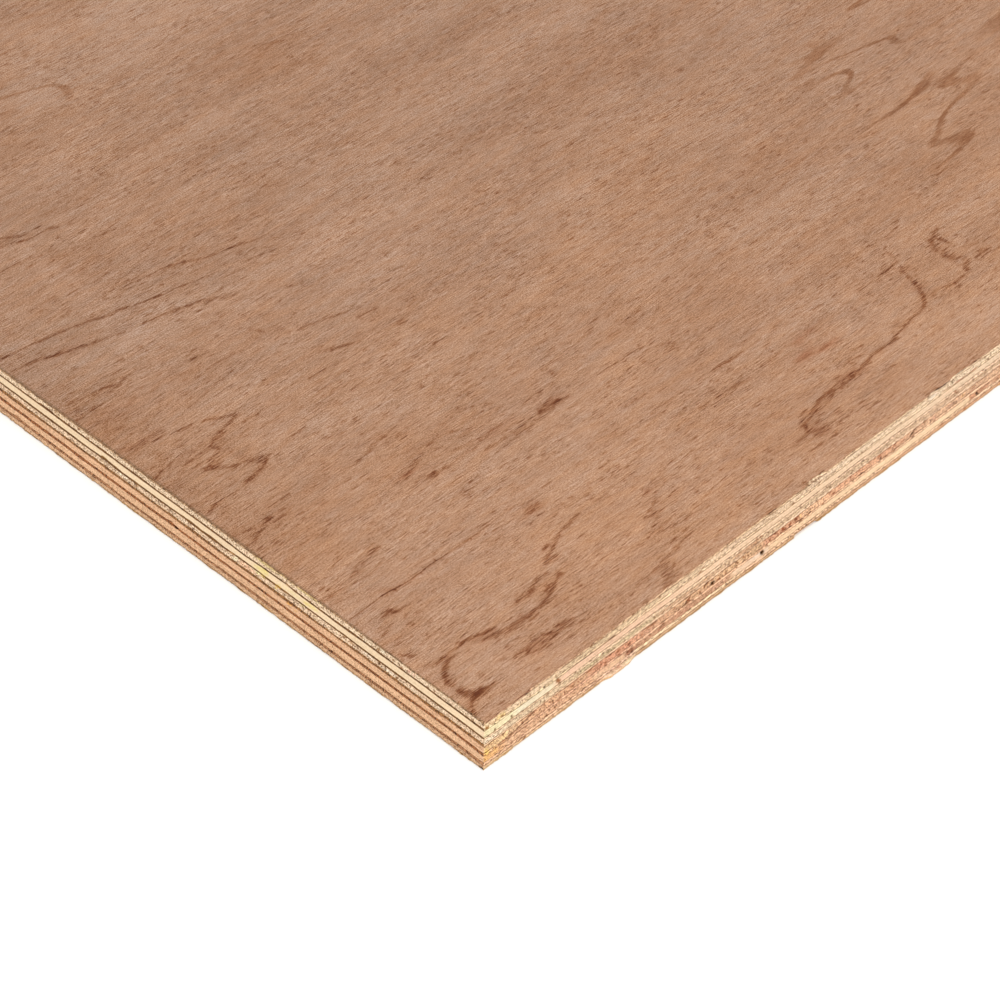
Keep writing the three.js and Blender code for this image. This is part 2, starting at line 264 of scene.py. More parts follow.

# Marks on the two edges that meet at the near corner:
# (plies or None, u, z, half length along u, half height, slant in u per z, colour, strength)
# painted shadow: near-black colour put inside the deep holes of the cross plies
HOLE_SHADOW = (30, 12, 4)
PATCH_FRONT = [
    # yellow and orange glue near the corner
    ((11,), 6.2, 15.9, 2.0, 1.6, -.3, (242, 206, 138), .8), ((11,), 7.0, 15.6, .6, .5, -1.2, (170, 142, 78), .9),
    ((10, 11), 0.9, 15.6, .6, .7, -.4, (188, 148, 88), .85), ((11,), 3.2, 16.0, .9, .5, 0, (205, 168, 122), .5),
    ((9,), 3.9, 12.9, .35, .55, -.2, (148, 118, 66), .85), ((9,), 10.1, 13.0, .32, .6, -.3, (140, 110, 66), .9),
    ((5, 4, 3), 1.0, 6.3, .9, 1.5, -.2, (240, 192, 100), .75), ((3, 4), 4.2, 5.0, .8, 1.7, -.2, (238, 184, 112), .6),
    ((5,), 7.6, 7.6, 1.4, 1.0, .4, (236, 192, 132), .6), ((3,), .6, 3.8, .6, 1.0, 0, (236, 176, 108), .6),
    # joint in the cream ply
    ((9,), 27.3, 13.7, .7, .8, -.5, (196, 134, 92), .75), ((9,), 28.1, 12.9, .45, .7, 0, (186, 122, 82), .8),
    # small dark marks
    ((11,), 16.8, 15.6, .5, .35, 0, (160, 116, 76), .8), ((7,), 23.6, 11.5, .6, .35, .3, (158, 112, 80), .7),
    ((7,), 16.2, 11.4, 1.4, .3, 0, (186, 144, 104), .6), ((11,), 26.6, 16.0, .35, .6, -.5, (176, 130, 92), .6),
    ((12,), 40.0, 17.5, .7, .45, 0, (128, 88, 56), .85), ((12,), 44.0, 17.5, .7, .35, 0, (150, 104, 68), .8),
    ((12,), 49.0, 17.4, 1.0, .35, 0, (150, 104, 68), .7), ((12,), 52.5, 17.8, .5, .4, 0, (128, 106, 56), .8),
    ((12,), 56.2, 17.8, .6, .35, 0, (150, 110, 76), .7), ((12,), 62.0, 17.5, 1.4, .3, 0, (150, 104, 72), .7),
    ((11,), 68.6, 15.7, 1.6, .35, .0, (158, 112, 78), .7), ((11,), 66.7, 16.9, .5, .6, -.7, (176, 130, 92), .6),
    ((11,), 61.2, 15.9, .6, .35, 0, (170, 124, 86), .6), ((11,), 83.0, 15.9, .7, .3, 0, (150, 102, 68), .0),
    ((10,), 83.0, 15.0, .8, .28, 0, (146, 98, 64), .85), ((11,), 92.0, 17.1, .6, .3, 0, (158, 112, 78), .7),
    ((11,), 84.2, 15.9, .5, .35, 0, (150, 108, 74), .7), ((12,), 78.8, 17.4, .6, .3, 0, (150, 108, 74), .6),
    ((10, 9), 121.9, 14.9, .8, .32, 0, (130, 92, 62), .9), ((11,), 120.2, 16.2, .4, .4, 0, (178, 134, 98), .5),
    ((11,), 139.0, 15.6, 1.0, .3, 0, (150, 104, 70), .7), ((11,), 156.6, 15.3, .7, .35, 0, (132, 78, 48), .95),
    ((12,), 128.0, 17.6, 1.0, .35, .0, (128, 94, 66), .8), ((11,), 133.2, 15.7, 1.0, .5, .8, (168, 126, 88), .6),
    ((11,), 192.6, 16.8, .35, .6, -.3, (112, 88, 52), .9), ((11,), 167.6, 15.4, .6, .3, 0, (160, 112, 74), .7),
    ((12, 11), 181.6, 17.8, .6, .4, -.5, (146, 122, 132), .7), ((11,), 183.6, 16.8, 1.8, .9, 0, (248, 232, 208), .6),
    ((10, 11), 196.6, 15.2, 2.4, .35, 0, (184, 120, 88), .8), ((10, 11), 203.0, 15.3, 1.9, .35, 0, (184, 118, 82), .8),
    ((11,), 190.0, 15.5, 2.4, .35, 0, (212, 160, 126), .6), ((9,), 190.4, 13.8, 3.4, .8, 0, (248, 206, 170), .6),
    ((7, 8), 195.0, 11.8, .8, .4, -.2, (172, 116, 92), .8), ((7,), 195.9, 10.7, .35, .5, -.6, (180, 120, 92), .8),
    ((7,), 174.8, 9.9, 1.0, .3, 0, (186, 138, 104), .5), ((7,), 212.5, 11.2, .6, .7, -.8, (120, 92, 64), .8),
    ((7,), 79.0, 9.7, 1.8, .3, 0, (176, 122, 86), .7), ((7,), 86.0, 11.2, 1.6, .8, 0, (226, 178, 128), .6),
    ((7,), 104.0, 9.5, 2.0, .3, 0, (188, 138, 100), .6),
    # fourth cross ply from the bottom: torn reddish end grain
    ((5,), 32.8, 8.0, 1.6, .5, 1.0, (190, 124, 88), .7), ((5,), 33.2, 7.2, .8, .35, 0, (176, 112, 78), .7),
    ((5,), 39.6, 8.3, 1.2, .35, 0, (168, 96, 64), .8), ((5,), 47.8, 8.6, .8, .4, 0, (150, 84, 54), .85),
    ((5,), 44.3, 7.6, .4, .5, 0, (182, 108, 80), .8), ((5,), 51.0, 7.7, .9, .4, -.8, (186, 112, 82), .8),
    ((5,), 55.2, 7.5, .7, .5, .6, (158, 88, 58), .85), ((5,), 46.0, 6.9, .5, .5, -.6, (160, 92, 60), .8),
    ((4,), 46.2, 5.8, .5, .5, -.7, (150, 84, 56), .85), ((4, 5), 51.5, 5.9, .6, .6, -.9, (152, 86, 56), .85),
    ((3,), 56.0, 4.2, 2.2, .9, -.5, (158, 100, 74), .85), ((3,), 57.0, 3.2, .8, .35, 0, (128, 76, 50), .8),
    ((5,), 65.0, 8.2, 1.2, .4, 0, (170, 104, 74), .7), ((5,), 62.6, 8.3, .6, .4, 0, (176, 108, 78), .6),
    ((5,), 60.4, 7.3, .35, .5, 0, (186, 116, 84), .7), ((3,), 63.8, 4.9, .6, .3, 0, (156, 106, 74), .7),
    ((4, 3), 69.0, 5.4, .6, .6, -.8, (140, 90, 56), .85), ((3,), 68.0, 4.3, .4, .5, 0, (170, 116, 84), .6),
    # the two patches below are dark torn grain with painted shade in the pit at u 78.7
    ((5,), 78.4, 6.7, .9, .35, .4, (120, 62, 38), .95), ((5,), 79.4, 7.7, .35, .8, .2, (140, 74, 46), .9),
    ((5,), 83.8, 7.1, .4, .6, -.4, (168, 102, 68), .8), ((5,), 85.6, 8.0, .5, .7, .5, (150, 92, 52), .8),
    ((5, 6), 86.8, 8.6, .7, .5, 0, (132, 76, 44), .85), ((5,), 87.6, 6.7, 1.0, .25, .1, (132, 72, 46), .85),
    # the first patch below is painted shadow inside the hole at u 89
    ((5,), 88.95, 6.95, .85, .66, 0, HOLE_SHADOW, .98), ((5,), 91.6, 6.6, .6, .4, 0, (176, 112, 76), .7),
    ((5,), 94.4, 7.0, .3, .7, -.5, (170, 110, 76), .8), ((5,), 99.0, 7.8, .4, .9, -.9, (170, 104, 72), .8),
    ((5,), 102.0, 7.8, .4, .7, -.9, (172, 108, 76), .7), ((5,), 103.8, 7.4, .4, .7, -.9, (170, 104, 74), .7),
    ((5,), 97.2, 7.4, .3, .6, -.6, (186, 124, 88), .6), ((7, 8), 107.0, 11.4, .4, .7, -.8, (178, 114, 84), .8),
    ((7,), 106.8, 9.8, .4, .6, -.5, (184, 124, 90), .7), ((8, 7), 109.0, 11.2, .8, .4, -.8, (176, 120, 88), .7),
    ((5,), 115.2, 8.2, .7, .45, 0, (134, 68, 44), .9), ((5,), 118.6, 7.6, .6, .8, -.3, (168, 88, 60), .85),
    ((5,), 119.4, 6.9, .8, .35, 0, (156, 80, 54), .85), ((5,), 121.8, 7.4, .5, .5, 0, (180, 104, 74), .8),
    ((5,), 124.4, 7.4, .6, .5, -.6, (146, 76, 48), .9), ((5,), 125.0, 8.2, .4, .4, -.5, (150, 80, 52), .85),
    ((5,), 112.8, 7.0, .4, .6, 0, (180, 104, 74), .7), ((5,), 117.0, 8.4, .4, .4, 0, (160, 88, 62), .7),
    # the first patch below is dark grain with painted shade in the slot at u 126.7
    ((4, 3), 126.7, 5.5, .75, .34, .3, (92, 52, 30), .95), ((4, 3), 136.2, 5.6, .5, .35, -.3, (150, 96, 62), .85),
    ((5,), 126.2, 7.8, .25, 1.0, -.3, (240, 180, 110), .8), ((4,), 143.4, 5.3, .6, .25, 0, (160, 110, 72), .8),
    ((5,), 140.4, 6.9, .8, .4, -.8, (166, 92, 66), .85), ((5,), 139.3, 8.1, .7, .35, 0, (170, 96, 70), .8),
    ((5,), 148.0, 8.3, .6, .4, 0, (160, 90, 62), .8), ((5,), 151.8, 8.0, .4, .4, 0, (172, 104, 76), .7),
    ((5,), 161.8, 6.8, .5, .4, -.6, (146, 76, 50), .9), ((5,), 160.8, 8.2, .8, .35, 0, (168, 92, 64), .8),
    ((4,), 164.2, 6.1, .5, .3, 0, (166, 106, 74), .7), ((5,), 167.6, 8.2, .5, .4, 0, (150, 88, 58), .8),
    ((5,), 165.6, 8.4, .7, .35, 0, (166, 104, 70), .7), ((4,), 167.4, 5.8, .4, .4, 0, (172, 114, 78), .6),
    # the two patches below are dark torn grain with painted shade in the pit at u 176
    ((5,), 176.0, 7.4, .85, .72, .5, (70, 34, 16), .97), ((5,), 176.9, 8.4, .6, .5, .5, (104, 54, 30), .92),
    ((5,), 171.4, 7.2, 1.4, .4, -.3, (184, 116, 84), .7), ((5,), 178.2, 6.2, .5, .4, -.8, (170, 108, 76), .6),
    ((5,), 186.0, 7.2, 1.6, .6, 0, (204, 140, 112), .7), ((5,), 194.5, 7.2, 3.0, .6, 0, (186, 134, 108), .75),
    ((4,), 186.3, 5.7, .6, .35, -.4, (112, 68, 42), .9), ((5,), 199.4, 7.5, 1.3, .5, 0, (226, 160, 104), .6),
    ((5,), 204.0, 8.0, 2.0, .4, 0, (178, 118, 86), .6), ((5,), 204.0, 6.6, 1.4, .4, 0, (192, 126, 94), .7),
    ((5,), 181.0, 8.2, 2.2, .4, 0, (190, 126, 92), .6),
    # second cross ply: joints, holes and pieces
    # the first patch below is painted shadow inside the hole at u 110
    ((3,), 110.15, 4.2, .76, .76, -.3, HOLE_SHADOW, .98), ((3,), 109.8, 5.0, .7, .3, -.4, (196, 140, 100), .7),
    ((3,), 107.5, 4.6, 2.6, .7, 0, (248, 220, 194), .6), ((3,), 113.2, 4.0, .2, 1.0, -.2, (222, 166, 124), .6),
    # the second patch below is painted shadow inside the open joint at u 206.85
    ((3,), 203.2, 4.6, .18, .8, -.4, (200, 130, 88), .8), ((3,), 206.85, 3.7, .46, .85, -.55, (60, 30, 16), .97),
    ((3,), 204.6, 3.2, 1.4, .3, 0, (176, 104, 68), .8), ((3,), 209.4, 4.9, 2.8, .4, 0, (186, 116, 84), .7),
    ((3,), 213.4, 3.6, 1.2, .8, 0, (238, 198, 160), .7), ((3,), 205.5, 5.2, 1.0, .3, 0, (232, 186, 148), .6),
    ((3,), 23.6, 3.2, .5, .4, -.4, (150, 100, 70), .8), ((3,), 26.6, 4.1, .4, .5, -.6, (160, 104, 74), .8),
    ((3,), 21.4, 5.1, 1.6, .3, 0, (182, 120, 86), .6), ((3,), 32.8, 5.0, 1.6, .3, 0, (178, 116, 82), .7),
    ((3,), 11.8, 5.3, .5, .4, -.5, (176, 118, 80), .6), ((3, 4), 28.0, 5.6, .6, .4, -.6, (170, 112, 76), .7),
    ((5, 4), 7.2, 6.0, .6, .4, -.8, (168, 102, 60), .7), ((3,), 46.5, 4.6, 2.6, .5, 0, (222, 166, 130), .5),
    ((3,), 77.0, 4.2, 6.0, .9, 0, (200, 144, 112), .5), ((3,), 92.0, 4.4, 4.0, .6, 0, (222, 172, 138), .6),
    # bottom plies
    ((1, 0), 15.2, 0.9, .45, .6, .3, (160, 112, 78), .8), ((0, 1), 50.0, 0.6, 4.4, .9, 0, (240, 194, 158), .7),
    ((1,), 55.0, 1.5, 2.2, .6, 0, (246, 214, 170), .7), ((1,), 51.2, 1.7, .8, .3, 0, (214, 150, 118), .6),
    ((1, 2), 190.5, 1.9, 1.2, .3, 0, (178, 112, 78), .8), ((1,), 205.0, 1.6, 3.0, .3, 0, (176, 112, 76), .6),
    ((1,), 201.4, 1.2, .6, .5, .4, (186, 122, 84), .6), ((1, 0), 93.5, 1.0, 1.6, .5, 0, (176, 134, 94), .6),
]
# lines: (plies or None, [(u, z), ...], half width, colour, strength)
LINE_FRONT = [
    ((5,), [(9.0, 6.3), (11.5, 6.6), (14.0, 7.2), (16.5, 7.8), (18.5, 8.45), (20.5, 8.75)], .28, (110, 58, 34), .95),
    ((12,), [(1.0, 18.0), (3.4, 18.05), (5.0, 17.95)], .20, (120, 70, 50), .9),
    ((12,), [(7.0, 18.0), (10.0, 18.1), (13.0, 17.95), (16.0, 18.05)], .22, (112, 62, 42), .95),
    ((12,), [(9.5, 17.2), (13.0, 17.1), (17.0, 17.2)], .20, (140, 86, 60), .85),
    ((12,), [(1.5, 17.3), (4.5, 17.35)], .16, (160, 106, 74), .7),
    ((12,), [(16.0, 18.0), (18.0, 18.2)], .25, (110, 60, 42), .9),
    ((12,), [(22.5, 17.7), (26.0, 17.7)], .14, (158, 108, 76), .6),
    ((12,), [(27.6, 17.45), (31.0, 17.5), (35.2, 17.35)], .20, (132, 86, 58), .85),
    ((12, 11), [(34.5, 17.6), (36.6, 17.0)], .18, (142, 98, 66), .7),
    ((10, 9), [(34.0, 14.95), (37.0, 14.8), (41.0, 14.75)], .20, (96, 58, 34), .95),
    ((10, 9), [(31.0, 14.7), (34.0, 14.8)], .14, (150, 100, 66), .7),
    ((10, 9), [(46.5, 14.95), (49.3, 15.0)], .24, (90, 52, 32), .95),
    ((9, 10), [(41.0, 14.7), (46.5, 14.85)], .13, (176, 122, 86), .7),
    ((12,), [(111.0, 18.0), (113.0, 17.95), (115.0, 17.8)], .26, (92, 56, 32), .95),
    ((12,), [(115.0, 17.75), (119.6, 17.5)], .18, (150, 108, 72), .8),
    ((12,), [(147.0, 18.1), (149.0, 18.1)], .2, (140, 94, 64), .7),
    ((12,), [(124.0, 18.0), (126.6, 17.9)], .2, (130, 92, 64), .8),
    ((12,), [(183.0, 18.2), (186.6, 17.9), (188.6, 17.9), (190.0, 17.8), (191.5, 17.6)], .20, (84, 54, 38), .95),
    ((12,), [(187.6, 17.95), (189.8, 17.85)], .30, (78, 48, 34), .95),
    ((12,), [(195.2, 17.7), (197.2, 17.75), (199.4, 17.6)], .16, (120, 100, 82), .8),
    ((12,), [(199.6, 18.1), (202.0, 18.0), (204.0, 17.75), (206.4, 17.5)], .22, (118, 72, 50), .9),
    ((12,), [(206.4, 17.5), (210.0, 17.2)], .13, (170, 128, 92), .7),
    ((9, 8), [(53.0, 12.4), (60.0, 12.6), (70.0, 12.4)], .10, (170, 112, 78), .5),
    ((3,), [(97.0, 3.4), (106.0, 3.5)], .12, (224, 170, 128), .6),
    ((3,), [(98.0, 5.0), (103.0, 5.0)], .10, (230, 180, 140), .5),
]
PATCH_LEFT = [
    ((0, 1), .7, .45, .75, .5, -.4, (60, 40, 28), .98),
    ((11,), .8, 17.0, .4, .35, 0, (112, 82, 56), .9), ((11,), 4.4, 16.2, .5, .3, 0, (170, 132, 98), .6),
    ((11,), 11.6, 16.7, .5, .5, -.3, (186, 148, 118), .6), ((11,), 18.0, 16.4, .35, .45, -.3, (150, 112, 80), .75),
    ((11,), 25.5, 16.9, .5, .6, -.4, (208, 162, 138), .7), ((11,), 27.4, 16.8, .6, .7, -.2, (206, 150, 126), .8),
    ((11,), 30.2, 16.1, .5, .4, -.4, (190, 130, 104), .6), ((11,), 31.2, 16.8, .45, .35, 0, (118, 92, 66), .8),
    ((11,), 33.2, 16.7, .4, .5, -.3, (150, 116, 88), .7), ((11,), 37.3, 17.0, 1.3, .5, 0, (240, 226, 200), .8),
    ((11,), 38.8, 16.6, .6, .5, -.4, (166, 132, 98), .7), ((11,), 45.2, 16.7, .7, .4, 0, (178, 140, 108), .7),
    ((11,), 53.0, 16.9, 1.6, .25, 0, (184, 142, 112), .6), ((11,), 57.5, 16.9, 2.0, .4, 0, (206, 168, 136), .6),
    ((11,), 71.8, 16.9, .5, .5, 0, (182, 148, 112), .6), ((11,), 43.0, 16.4, 2.0, .3, 0, (240, 220, 192), .6),
    ((12, 11), 66.0, 17.6, 6.0, .5, 0, (208, 188, 122), .5), ((12, 11), 82.0, 17.5, 5.0, .6, 0, (222, 200, 130), .6),
    ((12,), 75.0, 17.8, 3.0, .4, 0, (210, 184, 134), .6), ((11,), 90.0, 16.6, .8, .4, 0, (206, 160, 134), .6),
    # yellow resin stains
    ((9,), 64.8, 14.2, 3.4, .9, -1.2, (244, 220, 138), .62), ((9,), 66.6, 13.8, 1.0, .5, 0, (240, 212, 110), .5),
    ((9,), 83.8, 14.2, 2.9, 1.3, -.3, (244, 224, 138), .65), ((9,), 82.2, 15.0, 1.4, .35, 0, (238, 212, 110), .5),
    ((8, 9), 77.4, 12.5, 1.1, 1.0, -.25, (218, 184, 86), .8), ((7, 8), 78.3, 11.6, .5, .6, 0, (208, 174, 90), .7),
    ((8, 7), 83.4, 12.3, 1.2, .6, 0, (206, 186, 106), .7), ((7,), 85.6, 12.1, 1.0, .5, 0, (236, 226, 160), .7),
    ((8, 7), 68.0, 12.2, 1.0, .45, -.3, (222, 212, 160), .7), ((9,), 72.0, 14.2, 5.0, .7, 0, (250, 226, 168), .5),
    ((5,), 73.2, 9.0, 1.1, .5, -1.2, (228, 162, 84), .85), ((6,), 72.0, 9.8, .7, .4, 0, (170, 122, 62), .6),
    ((5,), 70.8, 8.2, .8, .35, 0, (232, 176, 112), .6), ((3,), 83.5, 4.9, .7, .5, 0, (232, 174, 112), .7),
    ((10, 11), 73.8, 15.7, .55, .7, 0, (238, 212, 170), .95), ((8,), 74.4, 12.5, 1.0, .3, 0, (206, 172, 130), .6),
    # third cross ply: pinkish piece between whitish ones
    ((7,), 90.0, 11.3, 3.4, 1.2, 0, (228, 180, 146), .9), ((7,), 94.6, 11.3, 1.0, 1.1, -.8, (238, 224, 186), .8),
    ((7, 8), 91.0, 12.6, 1.2, .35, 0, (176, 128, 92), .8), ((8,), 96.0, 12.4, 1.4, .35, 0, (226, 192, 150), .8),
    ((7,), 34.0, 11.2, 3.6, .45, 0, (244, 228, 208), .75), ((7,), 42.5, 11.6, 2.6, .35, 0, (244, 228, 208), .7),
    ((7,), 17.0, 11.3, 2.4, .3, 0, (240, 222, 196), .6), ((7,), 26.0, 11.2, 2.0, .3, 0, (238, 220, 194), .6),
    ((7,), 32.0, 11.0, .5, .7, -.5, (146, 108, 78), .75), ((7,), 38.6, 11.5, .5, .5, -.4, (140, 104, 72), .75),
    ((7,), 46.2, 10.7, 1.2, .5, 0, (180, 142, 116), .7), ((7,), 4.0, 11.5, 1.4, .4, 0, (170, 132, 104), .5),
    ((7,), 52.0, 11.8, .6, .4, -.5, (136, 98, 70), .7), ((7,), 49.0, 11.6, 1.2, .3, 0, (162, 122, 92), .6),
    ((7,), 63.0, 11.2, 1.6, .4, 0, (190, 156, 118), .5), ((7,), 116.0, 11.0, 1.2, .35, 0, (246, 232, 212), .5),
    ((7,), 141.0, 11.4, 3.0, .4, 0, (244, 228, 204), .7), ((7,), 135.5, 11.1, .5, .6, -.7, (160, 120, 88), .6),
    ((7,), 108.0, 11.0, 1.6, .3, 0, (170, 132, 100), .6), ((7,), 150.5, 11.2, .9, .4, 0, (182, 146, 112), .6),
    ((7,), 186.0, 10.7, 2.6, .3, 0, (196, 146, 112), .7), ((7,), 191.0, 10.4, .4, .5, 0, (126, 84, 56), .8),
    # dark bands
    ((6,), 12.5, 9.9, .4, .25, 0, (62, 40, 26), .9), ((10,), 22.6, 15.7, 1.6, .28, 0, (92, 66, 40), .85),
    ((10,), 36.0, 15.8, .8, .28, 0, (84, 58, 36), .85), ((10,), 40.4, 15.9, .4, .4, 0, (84, 58, 36), .8),
    ((10,), 3.9, 15.3, .8, .3, 0, (96, 70, 44), .7), ((10,), 13.0, 15.5, 1.0, .28, 0, (108, 80, 50), .6),
    ((4,), .7, 6.8, .8, .35, 0, (72, 42, 28), .85), ((4,), 8.0, 6.2, .8, .3, 0, (152, 84, 66), .8),
    ((4,), 14.0, 6.2, .7, .3, 0, (150, 86, 62), .8), ((4,), 25.8, 6.1, .4, .3, 0, (96, 56, 38), .8),
    ((4,), 32.5, 6.3, .5, .35, 0, (88, 48, 34), .85), ((4,), 45.8, 6.9, .3, .4, 0, (112, 72, 50), .8),
    ((6,), 65.3, 9.9, .55, .28, 0, (72, 38, 26), .9), ((6,), 83.0, 10.0, .5, .3, 0, (58, 30, 20), .92),
    ((6,), 71.0, 10.0, 2.0, .3, 0, (112, 72, 48), .7), ((2,), 57.0, 2.6, .7, .4, 0, (96, 60, 42), .75),
    ((2,), 67.8, 2.5, .6, .35, 0, (96, 62, 44), .75), ((2,), 78.8, 2.9, .8, .35, 0, (112, 72, 50), .7),
    # the first patch below is painted shadow inside the hole at u 119.3
    ((4,), 119.3, 6.2, .85, .3, 0, (18, 10, 8), .98), ((5,), 121.6, 7.15, .9, .22, 0, (168, 114, 82), .8),
    ((2,), 128.8, 3.05, .5, .3, 0, (112, 62, 54), .85), ((2,), 132.5, 3.0, .7, .25, 0, (108, 72, 54), .7),
    ((4,), 123.6, 6.5, 1.6, .2, 0, (120, 70, 44), .7), ((4,), 121.2, 6.1, .8, .4, 0, (176, 124, 90), .7),
    ((2,), 168.9, 2.9, .6, .35, 0, (88, 56, 40), .85), ((2,), 173.8, 2.9, .7, .35, 0, (94, 54, 38), .85),
    ((10,), 173.0, 15.8, 3.0, .4, 0, (92, 62, 36), .8), ((10, 11), 155.5, 16.2, .4, .5, 0, (166, 118, 84), .8),
    ((11,), 159.6, 17.2, .5, .4, -.3, (176, 128, 108), .8), ((11,), 163.6, 16.9, .4, .5, -.3, (190, 142, 120), .6),
    ((11,), 167.6, 16.8, 1.8, .7, 0, (220, 186, 146), .8), ((11,), 184.0, 17.1, 3.0, .4, 0, (206, 176, 142), .6),
    ((11,), 169.8, 17.0, .3, .6, -.2, (182, 134, 110), .7), ((3,), 160.4, 5.4, 1.6, .4, 0, (196, 144, 110), .6),
    ((5, 6), 19.0, 9.0, 4.6, .35, 0, (176, 128, 94), .75), ((5,), 18.6, 7.9, 1.8, .22, 0, (188, 138, 104), .7),
    ((5,), 22.5, 7.8, 1.6, .16, 0, (196, 148, 114), .6), ((3,), 188.2, 3.9, 1.4, .35, .6, (188, 134, 96), .75),
    ((8, 9), 148.8, 13.2, 1.6, .3, .3, (190, 158, 106), .7), ((5,), 182.0, 7.9, 5.0, .7, 0, (222, 170, 128), .5),
    ((0,), 98.0, .4, 2.4, .3, 0, (112, 92, 76), .7), ((0,), 110.0, .4, 3.4, .3, 0, (120, 92, 70), .6),
    ((0,), 162.0, .4, 5.4, .3, 0, (116, 90, 66), .7), ((0,), 181.0, .4, 3.0, .3, 0, (124, 96, 66), .7),
    ((0,), 174.5, .4, 3.0, .3, 0, (190, 152, 114), .7), ((0,), 63.5, .4, 2.6, .3, 0, (124, 88, 66), .6),
    ((1,), 83.0, .9, 3.0, .4, 0, (214, 162, 96), .5), ((0, 1), 93.8, .5, .6, .3, 0, (132, 106, 96), .7),
]
LINE_LEFT = [
    ((12, 11), [(1.6, 17.6), (4.5, 17.55), (8.2, 17.65)], .16, (96, 56, 38), .9),
    ((12,), [(30.5, 18.0), (36.0, 18.05), (42.0, 18.0)], .30, (104, 78, 52), .8),
    ((10,), [(74.5, 16.15), (79.0, 15.9), (84.0, 15.95), (89.0, 15.5)], .26, (104, 76, 46), .7),
]

# How rough the second cross ply's end grain is along the front edge.
ROUGH_3 = [(0, 1.0), (42, 1.0), (44, .4), (53.5, .4), (55, 1.0), (95.5, 1.0), (97.5, .15), (203.2, .15), (204, .8), (230, .9)]

# Strength of each texture layer on each ply: lumps, fine grain, saw marks,
# pores, long fibres.
W_LONG = {0: (.08, .17, .05, .26, .05), 1: (.08, .27, .09, .36, .08), 2: (.14, .62, .0, .29, .25), 3: (.06, .35, .22, .64, .08),
          4: (.12, .62, .0, .34, .20), 5: (.06, .40, .28, .74, .08), 6: (.14, .47, .0, .36, .22), 7: (.11, .46, .18, .95, .08),
          8: (.20, .56, .0, .51, .12), 9: (.03, .15, .04, .05, .10), 10: (.21, .66, .0, .62, .12), 11: (.08, .41, .10, .82, .15),
          12: (.15, .52, .0, .60, .06)}
W_END = {0: (.18, .50, .0, .45, .12), 1: (.22, .41, .0, .60, .12), 2: (.34, .84, .14, .57, .06), 3: (.10, .30, .0, .12, .12),
          4: (.34, .98, .14, .64, .06), 5: (.10, .28, .0, .12, .12), 6: (.34, .86, .12, .62, .06), 7: (.47, .60, .0, 1.06, .12),
          8: (.22, .46, .08, .40, .06), 9: (.02, .08, .0, .0, .05), 10: (.25, .57, .09, .58, .06), 11: (.46, .50, .0, 1.08, .12),
          12: (.35, .74, .0, .62, .10)}
# How far the fine grain is drawn out along each ply on the long edges.
DRAWN_OUT = (.6, .72, .9, .74, .9, .68, .9, .45, .9, .5, .9, .45, .75)
#          1    2    3    4    5    6    7    8    9    10   11   12
G_LONG = [.30, 1.05, .72, .66, .85, 1.35, .42, .58, 1.25, 1.15, .44, .46]
G_END = [.30, .20, .35, .20, .45, .20, .40, .25, .35, .25, .40, .30]

LIGHT_END, LIGHT_LONG, LIGHT_TOP = 1.38, 1.36, 1.53   # light on each side, set from test renders


# Fine adjustment of each ply, end and long edges
GAIN_LONG = [(1.10, 1.09, .79), (1.15, 1.22, 1.27), (1.04, 1.04, 1.10), (1.04, 1.06, 1.10), (1.13, 1.15, 1.20), (1.10, 1.24, 1.27), (1.02, 1.05, 1.09),
             (1.08, 1.06, 1.08), (1.07, 1.06, 1.12), (.93, .94, .96), (1.13, 1.16, 1.19), (1.04, 1.01, 1.05), (1.11, 1.09, 1.09)]
GAIN_END = [(1.82, 1.86, 1.29), (1.17, 1.22, 1.27), (1.36, 1.36, 1.23), (1.08, 1.11, 1.08), (1.30, 1.15, .83), (1.07, 1.08, 1.05), (1.15, 1.02, .70),
             (1.18, 1.19, 1.15), (.82, .60, .35), (1.02, 1.02, 1.03), (.85, .59, .35), (1.11, 1.12, 1.10), (1.55, 1.58, 1.44)]


def strips(k, u, seed):
    """Colour of a cross ply along a long edge that is far from the near corner:
    strips of random width, joined edge to edge."""
    rng = np.random.default_rng(seed)
    edges, colours, a = [], [], -50.0
    while a < 1300.0:
        a += rng.uniform(60.0, 190.0)
        edges.append(a)
        colours.append(STRIP_COLS[k][rng.integers(3)])
    colours.append(STRIP_COLS[k][0])
    return np.array(colours, float)[np.searchsorted(edges, u)]


